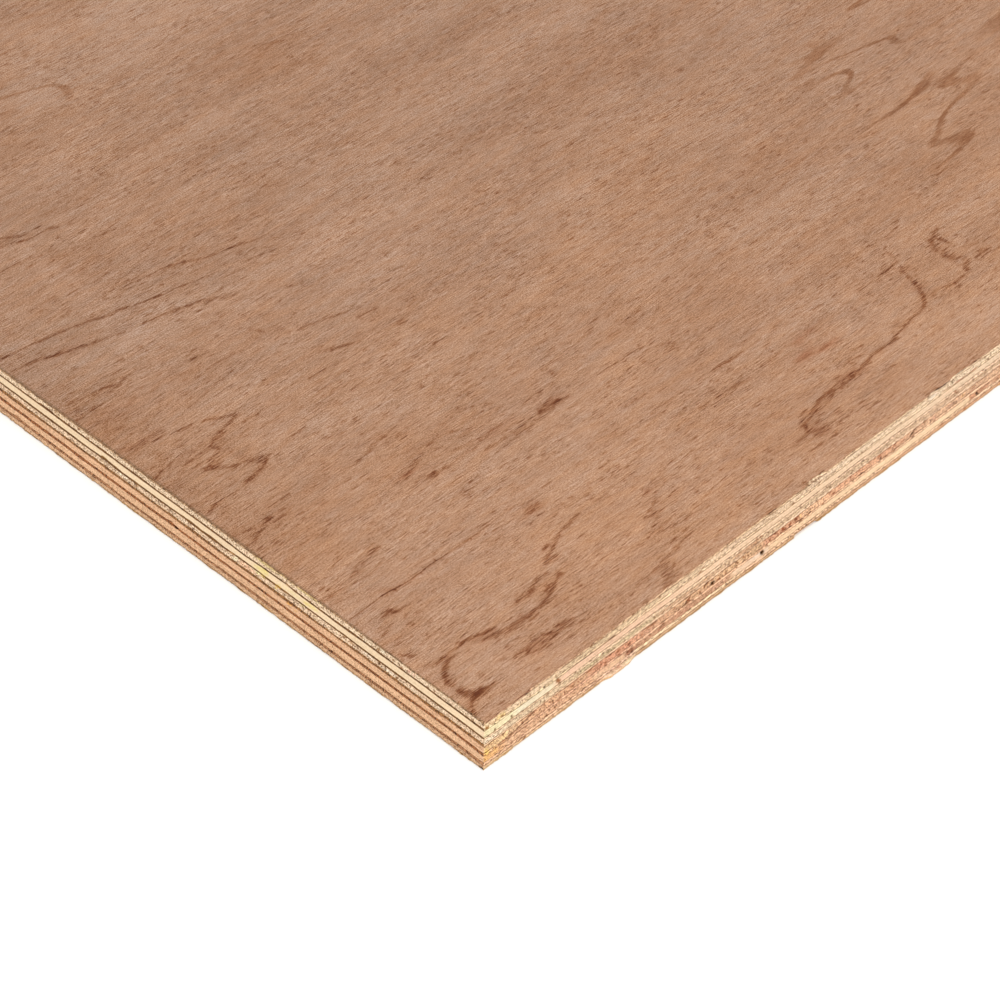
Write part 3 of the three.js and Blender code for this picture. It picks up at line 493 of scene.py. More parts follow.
def edge_colour(k, z, dz):
    """Target colour (linear) at rows z of ply k: shape (rows, N, 3)."""
    rows = z.shape[0]
    c = np.zeros((rows, N, 3))
    c[:] = np.where(IS_END[:, None], np.array(END_COL[k], float), np.array(LONG_COL[k], float))
    if k in STRIP_COLS:
        far = strips(k, U, 100 + k)
        back = strips(k, U - 6000.0, 200 + k)
        c[:] = np.where((SIDE == 0)[:, None], far, np.where((SIDE == 2)[:, None], back, c))
    near = table(FRONT_COL[k], U)
    w = (FRONT & (U < 226)).astype(float)[:, None]
    c = c * (1 - w) + near * w
    # slow drift
    c *= (1.0 + 0.020 * noise(U / 35.0, 0.3, 300 + k) + 0.015 * noise(U / 9.0, z / 1.5, 320 + k))[..., None]
    for mask, patches, lines in ((FRONT, PATCH_FRONT, LINE_FRONT), (LEFT, PATCH_LEFT, LINE_LEFT)):
        for plies, u0, z0, hu, hz, slant, col, s in patches:
            if plies is not None and k not in plies:
                continue
            if s >= 0.6 and hu <= 1.3 and sum(col) < 430:      # small dark spots: keep them crisp
                col, hu, hz = (col[0] * .74, col[1] * .56, col[2] * .30), hu * 1.08, hz * 1.08
            sel = mask & (np.abs(U - u0) < hu * 2.2 + abs(slant) * 2.5 + 1.0)
            if not sel.any():
                continue
            uu, zz = U[sel][None, :], z[:, sel]
            warp = 0.25 * noise(uu / 0.9 + u0, zz / 0.6, 7)
            d = np.sqrt((((uu - u0) - slant * (zz - z0)) / hu) ** 2 + ((zz - z0) / hz) ** 2) * (1 + warp)
            w = (s * (1 - smooth(0.40, 1.30, d)))[..., None]
            c[:, sel] = c[:, sel] * (1 - w) + np.array(col, float) * w
        for plies, pts, hw, col, s in lines:
            if plies is not None and k not in plies:
                continue
            ps = np.array(pts, float)
            sel = mask & (U > ps[:, 0].min() - 1.0) & (U < ps[:, 0].max() + 1.0)
            if not sel.any():
                continue
            uu, zz = U[sel][None, :], z[:, sel]
            d = np.full(zz.shape, 1e9)
            for (ua, za), (ub, zb) in zip(ps[:-1], ps[1:]):
                l2 = (ub - ua) ** 2 + (zb - za) ** 2 + 1e-9
                t = np.clip(((uu - ua) * (ub - ua) + (zz - za) * (zb - za)) / l2, 0, 1)
                d = np.minimum(d, np.hypot(uu - ua - t * (ub - ua), zz - za - t * (zb - za)))
            w = (s * (1 - smooth(0.55, 1.5, d / hw)) * (0.8 + 0.3 * noise(uu / 1.1, zz, 9)))[..., None]
            w = np.clip(w, 0, 1)
            c[:, sel] = c[:, sel] * (1 - w) + np.array(col, float) * w
    light = np.where(IS_END, LIGHT_END, LIGHT_LONG)[:, None]
    gain = np.where(IS_END[:, None], np.array(GAIN_END[k]), np.array(GAIN_LONG[k]))
    return lin(np.clip(c, 0, 255)) * gain / light


def bump(u, at, width, flat=0.5):
    """1 inside a stretch of the edge, falling to 0 at its ends."""
    d = np.abs(u - at) / (width / 2)
    return 1.0 - smooth(flat, 1.0, d)


def relief(k, z, frac):
    """How far each point of the edge stands out from the nominal face (mm)."""
    cross = k in (1, 3, 5, 7, 9, 11)
    rough_long = 0.055 if cross else 0.02            # cross plies show end grain on the long edges
    rough_end = 0.02 if cross else 0.05
    close = (FRONT & (U < FINE_FRONT)) | (LEFT & (U < FINE_LEFT))
    amp = np.where(IS_END, rough_end, rough_long) * np.where(close, 1.0, 0.6)
    r = 0.02 + 0.04 * noise(U / 30.0, z / 9.0, 11) + 0.02 * noise(U / 6.0, z / 3.0, 12)
    r = r + amp * np.where(close, noise(U / 0.8, z / 0.7, 13 + k), noise(U / 9.0, z / 0.9, 14 + k))
    edge = np.minimum(frac, 1 - frac) * (Z_CAD[k + 1] - Z_CAD[k])
    r = r - 0.03 * (1 - smooth(0.0, 0.25, edge))     # the glue lines sit a little back
    if not cross and k not in (0, 12):
        r = r - np.where(IS_END, 0.02, 0.0)
    f = FRONT.astype(float)
    l = LEFT.astype(float)
    if k == 12:                                      # veneer torn along the front edge
        tear = 0.10 * smooth(-0.1, 0.9, noise(U / 2.3, 0.2, 31)) + 0.10 * smooth(0.1, 0.9, noise(U / 11.0, 0.2, 32))
        tear = tear * np.where(IS_END, 0.5, 1.0)
        for at, w, d in ((131.7, 8.8, .98), (184.4, 7.2, .5), (196.4, 9.6, .6), (203.4, 6.0, .4), (113.0, 4.6, .26),
                         (62.0, 4.0, .2), (71.0, 12.0, .26), (17.6, 5.0, .3), (148.0, 3.0, .3), (189.4, 3.0, .2), (41.0, 3.0, .15)):
            tear = np.maximum(tear, f * d * np.sqrt(np.clip(1 - ((U - at) / (w / 2)) ** 2, 0, 1)) * (0.9 + 0.14 * noise(U / 0.7, 0.3, 33)))
        r = r - tear * (0.45 + 0.55 * frac)
        r = r - 0.05 * smooth(0.75, 1.0, frac)       # worn arris
    if k == 11:                                      # the ply below shows under the chips
        for at, w, d in ((131.7, 8.0, .30), (184.4, 6.0, .15), (196.4, 8.0, .18)):
            r = r - f * d * np.clip(1 - ((U - at) / (w / 2)) ** 2, 0, 1) * smooth(0.6, 1.0, frac)
    if k == 0:
        r = r - f * 2.6 * bump(U, 129.3, 10.0, .86)
        r = r + f * 0.80 * bump(U, 51.8, 12.0, .6) * (0.85 + 0.2 * noise(U / 1.6, 0.2, 35))
        r = r + f * 0.22 * bump(U, 135.4, 2.2, .3)
        r = r - 0.05 * (1 - smooth(0.0, 0.4, frac)) - 0.05 * smooth(0.0, 0.8, noise(U / 2.0, 0.3, 36))
        r = r + (0.13 * noise(U / 0.9, 0.3, 51) + 0.10 * noise(U / 3.1, 0.3, 52)) * np.where(close, 1.0, 0.5)
        r = r - 0.10 * (1 - smooth(0.0, 0.9, frac)) * np.where(IS_END, 1.0, 0.8)
    if k == 1:
        r = r - f * 2.2 * bump(U, 129.1, 9.4, .8) * (1 - smooth(1.02, 1.22, z))
        r = r + f * 0.80 * bump(U, 51.8, 11.6, .6) * (0.8 + 0.2 * noise(U / 1.3, z, 37)) * (1 - smooth(1.4, 2.0, z))
    if k == 3:
        hole = bump(U + 0.30 * (z - 4.2), 110.2, 1.35, .8) * (1 - smooth(.56, .78, np.abs(z - 4.2)))
        gap = bump(U + 0.50 * (z - 3.7), 206.85, 0.95, .8) * (1 - smooth(.6, .9, np.abs(z - 3.75)))
        r = r - f * (4.8 * hole + 4.8 * gap)
    if k == 5:
        r = r - f * 4.8 * bump(U, 89.0, 1.3, .93) * (1 - smooth(.42, .64, np.abs(z - 6.85)))
        r = r - f * 0.9 * bump(U - 0.5 * (z - 7.3), 176.0, 1.6, .5) * (1 - smooth(.4, .8, np.abs(z - 7.35)))
        r = r - f * 0.5 * bump(U - 0.3 * (z - 7.0), 78.7, 1.6, .5) * (1 - smooth(.4, .9, np.abs(z - 7.1)))
        r = r - f * 0.25 * bump(U, 118.5, 15.0, .9) * smooth(0.0, 0.6, noise(U / 1.1, z / 0.7, 38))
        r = r - f * 0.14 * smooth(0.1, 0.8, noise(U / 1.4, z / 0.8, 39)) * (U < 230)
    if k == 4:
        r = r - f * 0.8 * bump(U, 126.7, 1.8, .5) * (1 - smooth(.15, .45, np.abs(z - 5.6)))
        r = r - l * 2.4 * bump(U, 119.3, 1.9, .6) * (1 - smooth(.2, .42, np.abs(z - 6.2)))
    if k == 3:
        r = r - f * 0.12 * table(ROUGH_3, U) * smooth(0.0, 0.8, noise(U / 1.4, z / 0.8, 41)) * (U < 230)
        r = r - f * 0.35 * bump(U, 56.0, 4.0, .4) * (1 - smooth(.5, 1.0, np.abs(z - 4.1)))
    if k == 9:
        r = r - f * 0.25 * bump(U - 0.3 * (13.4 - z), 27.8, 1.0, .3) - f * 0.25 * bump(U, 10.1, 0.9, .4) * (1 - smooth(.3, .7, np.abs(z - 13.0)))
    return r


# ================================================================ meshes
def new_mesh(name, verts, faces, smooth_faces, face_mats=None):
    """verts (V,3) in mm; faces a list of integer arrays (F,3) or (F,4)."""
    me = bpy.data.meshes.new(name)
    me.vertices.add(len(verts))
    me.vertices.foreach_set("co", (np.asarray(verts, float) / 1000.0).astype(np.float32).ravel())
    loops = np.concatenate([f.ravel() for f in faces]).astype(np.int32)
    sizes = np.concatenate([np.full(len(f), f.shape[1]) for f in faces])
    starts = np.concatenate([[0], np.cumsum(sizes)[:-1]]).astype(np.int32)
    me.loops.add(len(loops))
    me.loops.foreach_set("vertex_index", loops)
    me.polygons.add(len(sizes))
    me.polygons.foreach_set("loop_start", starts)
    me.polygons.foreach_set("loop_total", sizes.astype(np.int32))
    flags = np.concatenate([np.full(len(f), s) for f, s in zip(faces, smooth_faces)])
    me.polygons.foreach_set("use_smooth", flags.astype(bool))
    if face_mats is not None:
        mats = np.concatenate([np.full(len(f), s) for f, s in zip(faces, face_mats)])
        me.polygons.foreach_set("material_index", mats.astype(np.int32))
    me.update(calc_edges=True)
    me.validate(verbose=False)
    return me


def put(me, name, kind, values):
    """A vertex attribute: kind is FLOAT, FLOAT_VECTOR or FLOAT_COLOR."""
    a = me.attributes.new(name, kind, "POINT")
    field = {"FLOAT": "value", "FLOAT_VECTOR": "vector", "FLOAT_COLOR": "color"}[kind]
    a.data.foreach_set(field, np.asarray(values, np.float32).ravel())


# Inner ring of the hidden faces between plies: flat inside it, wavy outside.
INSET = 9.0


def inner_ring():
    step = np.where(SIDE == 0, np.where(A < FINE_FRONT, 0.0, 30.0), np.where((SIDE == 3) & (A > WID - FINE_LEFT), 6.0, 30.0))
    q = np.where(step > 0, np.round(A / np.maximum(step, 1e-6)) * step, A)
    q = np.clip(q, INSET, SLEN[SIDE] - INSET)
    p = START[SIDE] + DIR[SIDE] * q[:, None] - OUT * INSET
    p = np.round(p, 4)
    ids = np.zeros(N, int)
    pts = [p[0]]
    for i in range(1, N):
        if not np.array_equal(p[i], pts[-1]):
            pts.append(p[i])
        ids[i] = len(pts) - 1
    if np.array_equal(pts[0], pts[-1]) and len(pts) > 1:
        ids[ids == len(pts) - 1] = 0
        pts.pop()
    return np.array(pts), ids


IN_PTS, IN_ID = inner_ring()
M = len(IN_PTS)
_gx, _gy = np.meshgrid(np.linspace(X0 + 40, -X0 - 40, 26), np.linspace(Y0 + 40, -Y0 - 40, 13))
IN_GRID = np.stack([_gx.ravel(), _gy.ravel()], -1)


def cdt(points, ring):
    v, _, f, orig, _, _ = delaunay_2d_cdt([Vector((float(x), float(y))) for x, y in points], [], [list(range(ring))], 1, 1e-7)
    back = np.array([o[0] if o else -1 for o in orig])
    f = np.array([t for t in f if len(t) == 3], int)
    f = back[f]
    f = f[(f >= 0).all(1)]
    p = np.asarray(points, float)
    a, b, c = p[f[:, 0]], p[f[:, 1]], p[f[:, 2]]
    area = (b[:, 0] - a[:, 0]) * (c[:, 1] - a[:, 1]) - (c[:, 0] - a[:, 0]) * (b[:, 1] - a[:, 1])
    f[area < 0] = f[area < 0][:, ::-1]
    return f[np.abs(area) > 1e-9]


IN_TRIS = cdt(np.vstack([IN_PTS, IN_GRID]), M)      # counter-clockwise from above
_j = np.arange(N)
_n = (_j + 1) % N
BAND_TRI = np.stack([_j, _n, N + IN_ID], -1)[IN_ID == IN_ID[_n]]
BAND_QUAD = np.stack([_j, _n, N + IN_ID[_n], N + IN_ID], -1)[IN_ID != IN_ID[_n]]


def row_fractions(t):
    inner = max(1, int(round((t - 0.26) / 0.32)))
    return np.concatenate([[0.0], np.linspace(0.13, t - 0.13, inner + 1), [t]]) / t


def cap(base_ring, base_inner, up):
    """Faces of a hidden cap: ring vertices start at base_ring, inner ones at base_inner."""
    def fix(f):
        g = np.where(f < N, f + base_ring, f - N + base_inner)
        return g if up else g[:, ::-1]
    return fix(BAND_TRI), fix(BAND_QUAD), fix(IN_TRIS + N)


# ------------------------------------------------ figure on the top face, and painted shade along the front arris
# (darkness, smear along the grain, width across it, points from the corner)
FIGURE_AND_ARRIS_SHADE = [
    # loop at the corner
    (.90, 1.7, .60, [(53.3, 24.4), (50.4, 22.9), (47.6, 21.5), (44.7, 20.3), (40.4, 19.2), (36.1, 19.0), (31.9, 19.1), (27.6, 19.7), (24.0, 20.6), (21.5, 21.1)]),
    (.75, 1.5, .5, [(52.0, 23.4), (49.0, 23.3), (46.5, 22.6)]), (.5, 2.0, .45, [(38.0, 18.2), (33.0, 18.0), (28.5, 18.6)]),
    (1.0, 1.6, .5, [(26.1, 22.2), (23.5, 22.6), (21.1, 23.3), (17.6, 24.4), (15.9, 24.3)]), (.72, 1.6, .40, [(16.4, 24.3), (13.0, 24.0), (9.8, 23.9)]),
    (.9, 1.5, .45, [(9.8, 23.8), (8.6, 23.9), (6.6, 23.6)]),
    (.85, 1.7, .7, [(10.6, 22.6), (8.9, 22.4), (7.5, 21.8), (6.4, 20.9), (5.4, 19.9), (4.7, 19.0)]),
    (.72, 1.5, .9, [(5.4, 20.0), (4.2, 18.4), (3.6, 17.2), (3.3, 16.0), (3.9, 14.9), (3.4, 13.4), (3.3, 12.0), (3.8, 10.8)]),
    (.45, 1.4, .3, [(4.4, 18.0), (6.0, 17.9)]), (.4, 1.4, .3, [(2.6, 16.6), (5.0, 16.5)]), (.4, 1.4, .3, [(3.0, 14.4), (5.6, 14.3)]), (.45, 1.3, .3, [(2.6, 12.4), (4.6, 12.4)]),
    (.5, 1.4, .3, [(24.0, 19.4), (28.0, 18.5), (31.0, 18.1)]), (.45, 1.6, .3, [(31.0, 20.0), (36.0, 19.8)]), (.45, 1.4, .3, [(43.0, 18.8), (46.0, 18.8)]),
    (1.35, 1.9, 1.25, [(3.9, 10.4), (5.0, 9.6), (6.1, 8.9), (7.6, 8.7)]), (1.3, 2.3, .8, [(4.6, 8.1), (6.4, 8.0), (8.6, 8.1)]),
    (.7, 2.0, .35, [(7.5, 8.6), (9.4, 8.4), (10.8, 8.4)]), (.65, 1.3, .6, [(3.4, 7.8), (2.4, 6.9), (1.4, 6.0), (.8, 5.2), (.4, 4.2)]),
    (.22, 4.0, 3.0, [(4.0, 8.5), (4.5, 15.0), (6.0, 20.0)]),
    # branch beyond it
    (.74, 1.6, .42, [(36.9, 24.7), (40.4, 25.1), (43.3, 25.4), (45.5, 26.3), (49.0, 27.0), (51.0, 26.6)]), (.55, 1.6, .4, [(38.0, 25.7), (41.0, 26.0)]),
    (.75, 1.6, .4, [(41.0, 24.3), (44.0, 24.6)]), (.5, 1.5, .35, [(45.0, 27.2), (48.5, 27.6)]),
    (.55, 2.2, .8, [(54.0, 29.4), (56.1, 29.8), (58.0, 29.4)]), (.6, 1.4, .3, [(53.6, 29.9), (56.6, 30.0)]), (.5, 1.4, .3, [(54.6, 28.6), (56.6, 28.5)]), (.76, 1.8, .5, [(55.6, 30.9), (58.3, 31.9), (60.4, 32.9), (62.6, 34.2), (66.1, 35.3), (69.7, 36.0), (74.0, 36.8)]),
    (.62, 1.7, .5, [(56.9, 33.3), (58.8, 34.0), (61.0, 33.7)]), (.3, 3.0, 1.4, [(55.0, 29.5), (60.0, 33.0)]),
    # eye
    (.85, 1.7, .4, [(22.6, 10.9), (25.4, 11.1), (29.7, 11.5), (33.3, 11.4), (35.5, 10.6)]), (.85, 1.6, .5, [(39.0, 10.9), (41.0, 10.7), (42.6, 10.4)]),
    (.78, 1.8, .42, [(25.4, 9.7), (27.2, 8.9), (31.1, 8.5), (34.5, 8.9), (38.3, 9.5), (40.4, 10.1)]), (.6, 1.6, .4, [(35.0, 10.2), (38.0, 9.8)]),
    (.5, 1.5, .4, [(39.5, 9.3), (41.4, 8.6)]), (.45, 1.5, .3, [(26.5, 10.4), (30.0, 10.4)]), (.45, 1.5, .3, [(31.0, 9.7), (35.6, 9.6)]), (.35, 1.4, .3, [(24.0, 12.0), (27.0, 12.1)]), (.45, 1.4, .3, [(38.0, 11.5), (42.0, 11.3)]), (.5, 1.4, .3, [(41.0, 9.9), (44.0, 10.0)]), (.4, 1.4, .3, [(28.0, 7.6), (33.0, 7.7)]), (.45, 1.6, .4, [(29.0, 12.6), (33.0, 12.3)]),
    # right of the eye
    (.62, 1.6, .45, [(68.3, 6.6), (71.9, 7.0), (76.9, 7.9), (81.9, 8.7), (86.1, 9.5), (90.4, 10.2)]), (.62, 1.6, .38, [(84.0, 11.3), (88.0, 11.6), (91.5, 12.2)]),
    (.5, 2.4, .7, [(75.4, 6.0), (75.0, 4.9), (73.4, 3.4), (72.0, 2.4), (71.1, 1.5), (73.0, .6)]), (.28, 5.5, 3.0, [(74.0, 2.0), (75.0, 6.0)]),
    (.45, 1.8, .3, [(75.0, 5.0), (79.0, 4.7), (82.5, 4.7)]), (.3, 1.6, .3, [(66.5, 7.5), (68.0, 7.6)]),
    (.5, 1.8, .3, [(84.3, 16.2), (87.0, 16.0), (90.7, 15.5)]), (.42, 1.6, .3, [(92.0, 14.8), (97.1, 14.6), (102.1, 14.0)]), (.4, 1.6, .35, [(82.1, 18.1), (84.5, 18.0)]),
    (.4, 1.4, .3, [(87.6, 17.9), (90.4, 17.5)]), (.55, 1.5, .45, [(86.8, 22.6), (88.4, 22.8)]), (.5, 1.3, .35, [(89.2, 21.8), (90.6, 21.6)]),
    (.5, 2.0, .4, [(89.5, 24.0), (92.0, 25.0), (94.6, 25.4)]), (.62, 1.8, .6, [(93.5, 29.2), (95.0, 29.6)]), (.42, 1.8, .35, [(94.5, 31.0), (97.0, 31.0), (99.0, 31.6), (101.4, 31.9)]),
    (.34, 1.8, .4, [(102.5, 32.4), (105.7, 32.9), (110.7, 33.3)]), (.5, 1.6, .3, [(97.0, 24.1), (101.4, 24.6)]), (.4, 1.8, .3, [(117.9, 34.9), (120.7, 35.1)]),
    (.2, 5.0, 2.4, [(86.0, 17.5), (89.0, 22.0), (95.0, 28.0), (101.0, 30.0)]), (.6, 1.5, .3, [(86.5, 22.9), (89.6, 22.6)]), (.5, 1.5, .3, [(88.4, 21.9), (91.6, 21.8)]), (.45, 1.5, .3, [(84.4, 19.2), (86.6, 19.0)]), (.45, 1.5, .3, [(81.0, 17.0), (83.6, 17.2)]), (.45, 1.5, .3, [(85.6, 17.2), (89.0, 16.9)]), (.4, 1.5, .3, [(92.4, 15.4), (95.0, 15.3)]), (.4, 1.5, .3, [(90.6, 26.0), (93.4, 26.6)]),
    # long dark line
    (.8, 2.2, .5, [(140.7, 13.8), (143.0, 14.0), (144.8, 14.3)]), (.66, 1.3, .7, [(144.8, 14.2), (145.7, 15.4), (146.6, 16.6)]),
    (.75, 1.9, .6, [(146.0, 17.2), (148.6, 17.6), (151.4, 18.3), (153.6, 18.6)]), (.62, 2.0, .5, [(147.0, 18.6), (149.5, 19.0), (152.0, 19.4)]),
    (.85, 1.7, .55, [(153.0, 19.4), (155.0, 20.0), (157.0, 20.3)]), (.6, 1.8, .35, [(149.0, 20.4), (152.0, 20.8)]),
    (1.15, 1.6, .62, [(157.0, 20.7), (159.0, 21.1), (161.5, 21.2), (164.0, 20.8)]), (1.0, 1.8, .5, [(164.0, 20.6), (167.1, 20.6), (170.0, 20.6), (172.9, 20.9)]),
    (.7, 2.0, .5, [(164.0, 21.6), (168.0, 21.9), (172.0, 22.1), (176.0, 21.9)]), (1.1, 1.6, .42, [(172.9, 21.1), (176.4, 21.4), (178.9, 21.6)]),
    (.9, 1.5, .42, [(178.9, 22.0), (181.5, 22.4), (183.6, 22.9), (186.0, 23.3), (188.6, 23.1), (192.1, 23.0), (195.0, 22.9)]), (.7, 1.6, .35, [(186.0, 22.7), (190.0, 22.8), (195.5, 22.4)]),
    (.95, 1.4, .45, [(194.0, 23.3), (197.0, 24.0), (200.0, 24.3), (203.6, 25.1), (205.7, 25.6)]), (.75, 1.5, .42, [(205.7, 25.6), (210.0, 25.8), (212.5, 26.1)]),
    (.76, 1.5, .8, [(212.4, 26.6), (213.8, 27.3), (215.0, 28.3), (216.0, 29.4), (217.0, 30.6)]), (.6, 1.7, .9, [(217.0, 30.8), (218.0, 32.2), (218.9, 34.0), (219.3, 35.6)]),
    (.52, 1.1, .9, [(219.5, 36.0), (220.2, 38.4), (220.8, 40.0), (221.6, 41.4), (222.4, 43.2)]), (.6, 1.8, .5, [(220.8, 41.6), (222.4, 41.2)]),
    (.5, 1.4, .3, [(221.0, 45.4), (223.0, 45.6)]), (.45, 1.3, .3, [(224.0, 47.2), (226.0, 47.3)]), (.42, 1.1, .6, [(224.6, 48.0), (224.9, 50.0)]), (.35, 1.4, .3, [(225.0, 51.6), (226.6, 52.8)]), (.5, 2.0, .4, [(228.6, 54.9), (231.4, 54.8)]), (1.0, 1.5, .5, [(216.6, 44.8), (218.8, 44.8)]),
    (.6, 1.6, .45, [(144.6, 14.0), (147.0, 12.9), (149.4, 12.5)]), (.5, 1.9, .5, [(147.4, 11.2), (149.4, 11.0)]), (.5, 2.0, .3, [(146.0, 12.3), (150.4, 12.4), (154.0, 12.4)]),
    (.55, 1.8, .35, [(140.0, 8.5), (144.3, 8.6), (150.7, 7.9)]), (.5, 1.8, .35, [(154.5, 11.0), (160.0, 11.2)]), (.45, 1.3, .3, [(163.6, 10.4), (165.0, 10.4)]),
    (.4, 2.0, .3, [(152.0, 16.5), (158.0, 16.2)]), (.45, 2.0, .3, [(156.0, 19.4), (163.0, 18.6)]), (.4, 2.0, .3, [(150.0, 14.6), (158.0, 14.4)]),
    (.36, 1.8, .3, [(146.0, 16.2), (150.0, 15.6)]), (.36, 1.8, .3, [(148.0, 13.2), (153.0, 13.4)]), (.3, 5.0, 2.6, [(147.0, 12.0), (150.0, 17.0), (158.0, 20.0), (176.0, 21.0)]),
    # second bend
    (.4, 2.2, .35, [(221.0, 28.4), (224.5, 28.2), (226.0, 27.2)]), (.75, 1.7, .45, [(227.5, 26.8), (229.6, 27.0), (232.9, 27.4)]), (.4, 1.8, .35, [(224.0, 25.4), (229.0, 25.0)]),
    (.66, 1.8, .9, [(235.6, 28.2), (236.4, 29.4)]), (.6, 2.3, 1.0, [(237.6, 30.2), (239.0, 31.4), (239.4, 32.8)]), (.55, 2.2, 1.0, [(237.8, 33.6), (236.8, 35.6), (236.6, 37.4)]),
    (.6, 1.8, .5, [(236.4, 38.4), (238.6, 38.8)]), (.55, 2.2, 1.0, [(236.6, 40.6), (237.4, 43.0), (239.0, 44.6)]), (.6, 1.6, .3, [(235.4, 43.6), (241.0, 43.4)]), (.5, 1.6, .3, [(234.6, 41.4), (237.0, 41.4)]), (.9, 1.6, .7, [(238.8, 44.8), (240.4, 44.9), (241.6, 45.6)]),
    (.7, 1.6, .6, [(242.0, 45.9), (243.9, 46.8), (245.6, 47.6)]), (.7, 1.2, .7, [(241.0, 43.8), (241.6, 42.4), (242.2, 40.6)]), (.85, 1.8, .35, [(243.0, 30.1), (248.6, 30.1)]),
    (.8, 1.6, .35, [(244.4, 28.9), (247.6, 29.0)]), (.6, 1.5, .5, [(245.4, 31.5), (247.0, 31.4)]), (.18, 5.0, 2.6, [(217.0, 29.0), (220.0, 37.0)]), (.2, 4.0, 2.6, [(237.0, 30.0), (238.0, 42.0)]),
    # beside the crack along the grain
    (.3, .8, .22, [(18.8, 51.9), (20.4, 51.8)]), (.26, 1.5, .22, [(84.0, 51.1), (101.4, 50.5), (120.0, 50.3), (130.0, 51.2), (141.4, 51.0)]),
    (.4, 1.5, .22, [(148.0, 51.4), (154.0, 51.0)]),
    # broken arris along the front edge: painted shade along the arris and round the chips
    (.48, 1.2, .16, [(126.2, .2), (127.6, .6), (129.6, .95), (131.8, 1.15), (134.0, .9), (135.8, .35)]), (.42, 1.4, .16, [(181.0, .45), (184.0, .65), (186.4, .6)]),
    (.54, 1.4, .16, [(187.0, .75), (191.0, .95), (196.0, .9), (199.6, .65)]), (.48, 1.2, .14, [(200.4, .5), (203.0, .45), (206.0, .2)]), (.42, 1.4, .16, [(109.4, .25), (112.0, .5), (115.4, .4)]),
    (.27, 1.6, .14, [(61.0, .3), (66.0, .45), (72.0, .4), (77.0, .3)]), (.30, 1.2, .14, [(17.6, .3), (19.2, .4)]),
    # small marks at the left
    (.9, 1.2, .6, [(10.0, 46.6), (11.4, 46.0), (11.4, 45.2), (12.6, 44.3)]), (.8, 1.4, .35, [(8.6, 45.6), (11.0, 45.6)]), (.6, 1.6, .3, [(9.4, 46.8), (12.0, 47.0)]), (.6, 1.4, .3, [(12.6, 44.4), (14.6, 44.4)]),
    (.72, 1.3, .55, [(3.6, 40.9), (5.4, 41.1)]), (.4, 1.4, .35, [(5.4, 42.0), (8.0, 42.2)]), (.7, 1.1, .45, [(1.6, 32.4), (2.8, 31.2), (3.4, 30.2)]), (.75, 1.2, .3, [(3.0, 29.9), (4.4, 29.9)]), (.6, 1.2, .25, [(3.2, 31.0), (4.4, 31.0)]),
    (.25, 3.0, 1.6, [(8.0, 45.0), (13.0, 45.0)]), (.4, 1.4, .3, [(3.8, 35.7), (5.6, 35.6)]), (.45, 1.3, .25, [(10.6, 39.1), (13.0, 39.1)]), (.4, 1.3, .3, [(11.0, 38.1), (12.0, 38.0)]),
    (.35, 1.6, .3, [(23.4, 15.0), (24.6, 15.0)]), (.5, 1.6, .25, [(44.0, 16.5), (48.0, 16.5)]), (.4, 1.6, .25, [(31.0, 16.7), (34.0, 16.6)]), (.3, 1.4, .3, [(26.6, 5.3), (28.6, 5.2)]), (.35, 1.4, .3, [(22.0, 4.0), (24.0, 3.8)]),
    # others
    (.5, 1.5, .45, [(64.8, 47.4), (67.0, 47.9), (69.0, 47.5)]), (.55, 1.8, .55, [(64.4, 46.5), (66.5, 46.6), (68.5, 46.8)]), (.5, 1.5, .35, [(66.0, 49.6), (69.6, 49.3)]), (.55, 1.5, .35, [(66.4, 44.0), (68.4, 43.7)]),
    (.5, 1.8, .28, [(70.5, 42.9), (74.5, 42.7)]), (.25, 3.4, 2.0, [(66.0, 47.0), (68.0, 47.0)]), (.45, 1.8, .5, [(92.5, 41.4), (95.4, 41.8)]), (.45, 1.6, .35, [(95.0, 40.8), (98.0, 40.5)]), (.6, 1.2, .3, [(95.6, 37.5), (97.0, 37.5)]),
    (.35, 2.0, .4, [(1.9, 60.5), (8.3, 61.0)]), (.45, 2.0, .35, [(11.5, 62.6), (16.9, 63.0)]), (.5, 1.9, .35, [(16.5, 64.0), (20.8, 64.1)]), (1.0, 1.2, .3, [(22.4, 65.2), (24.2, 65.3)]), (1.0, 1.1, .3, [(24.8, 65.7), (26.0, 65.6)]), (.6, 1.5, .28, [(22.6, 66.0), (24.4, 66.0)]),
    (.2, 6.0, 2.2, [(4.0, 61.0), (12.0, 62.0), (22.0, 65.0)]), (.4, 1.6, .25, [(14.0, 59.8), (19.6, 59.7)]), (.4, 1.5, .25, [(2.0, 58.4), (5.0, 58.4)]), (.5, 1.6, .25, [(40.0, 54.6), (42.4, 54.6)]), (.35, 1.8, .3, [(42.6, 55.6), (47.0, 55.6)]),
    (.35, 1.6, .3, [(28.0, 53.5), (31.0, 53.4)]), (.5, 1.4, .32, [(57.6, 63.4), (59.4, 63.5)]), (.5, 1.4, .32, [(62.0, 61.4), (64.0, 61.4)]), (.4, 1.5, .25, [(62.4, 66.6), (65.0, 66.7)]),
    # eye further up
    (.35, 1.7, .5, [(49.7, 79.9), (52.0, 80.4)]), (.5, 1.8, .5, [(51.5, 81.2), (54.7, 81.7), (57.0, 82.0)]), (.5, 1.8, .42, [(55.0, 82.6), (58.0, 83.6), (60.4, 84.2)]), (.38, 1.8, .42, [(61.5, 84.6), (65.4, 85.6), (69.0, 86.5)]),
    (.95, 1.9, .6, [(54.6, 75.7), (56.4, 75.6), (58.4, 75.7)]), (.8, 1.5, .35, [(55.5, 76.6), (58.0, 76.4)]), (.8, 1.4, .3, [(56.0, 74.8), (58.0, 74.8)]), (.5, 1.8, .35, [(52.0, 76.9), (54.4, 77.0)]), (.4, 1.6, .5, [(59.5, 75.4), (62.0, 75.2)]),
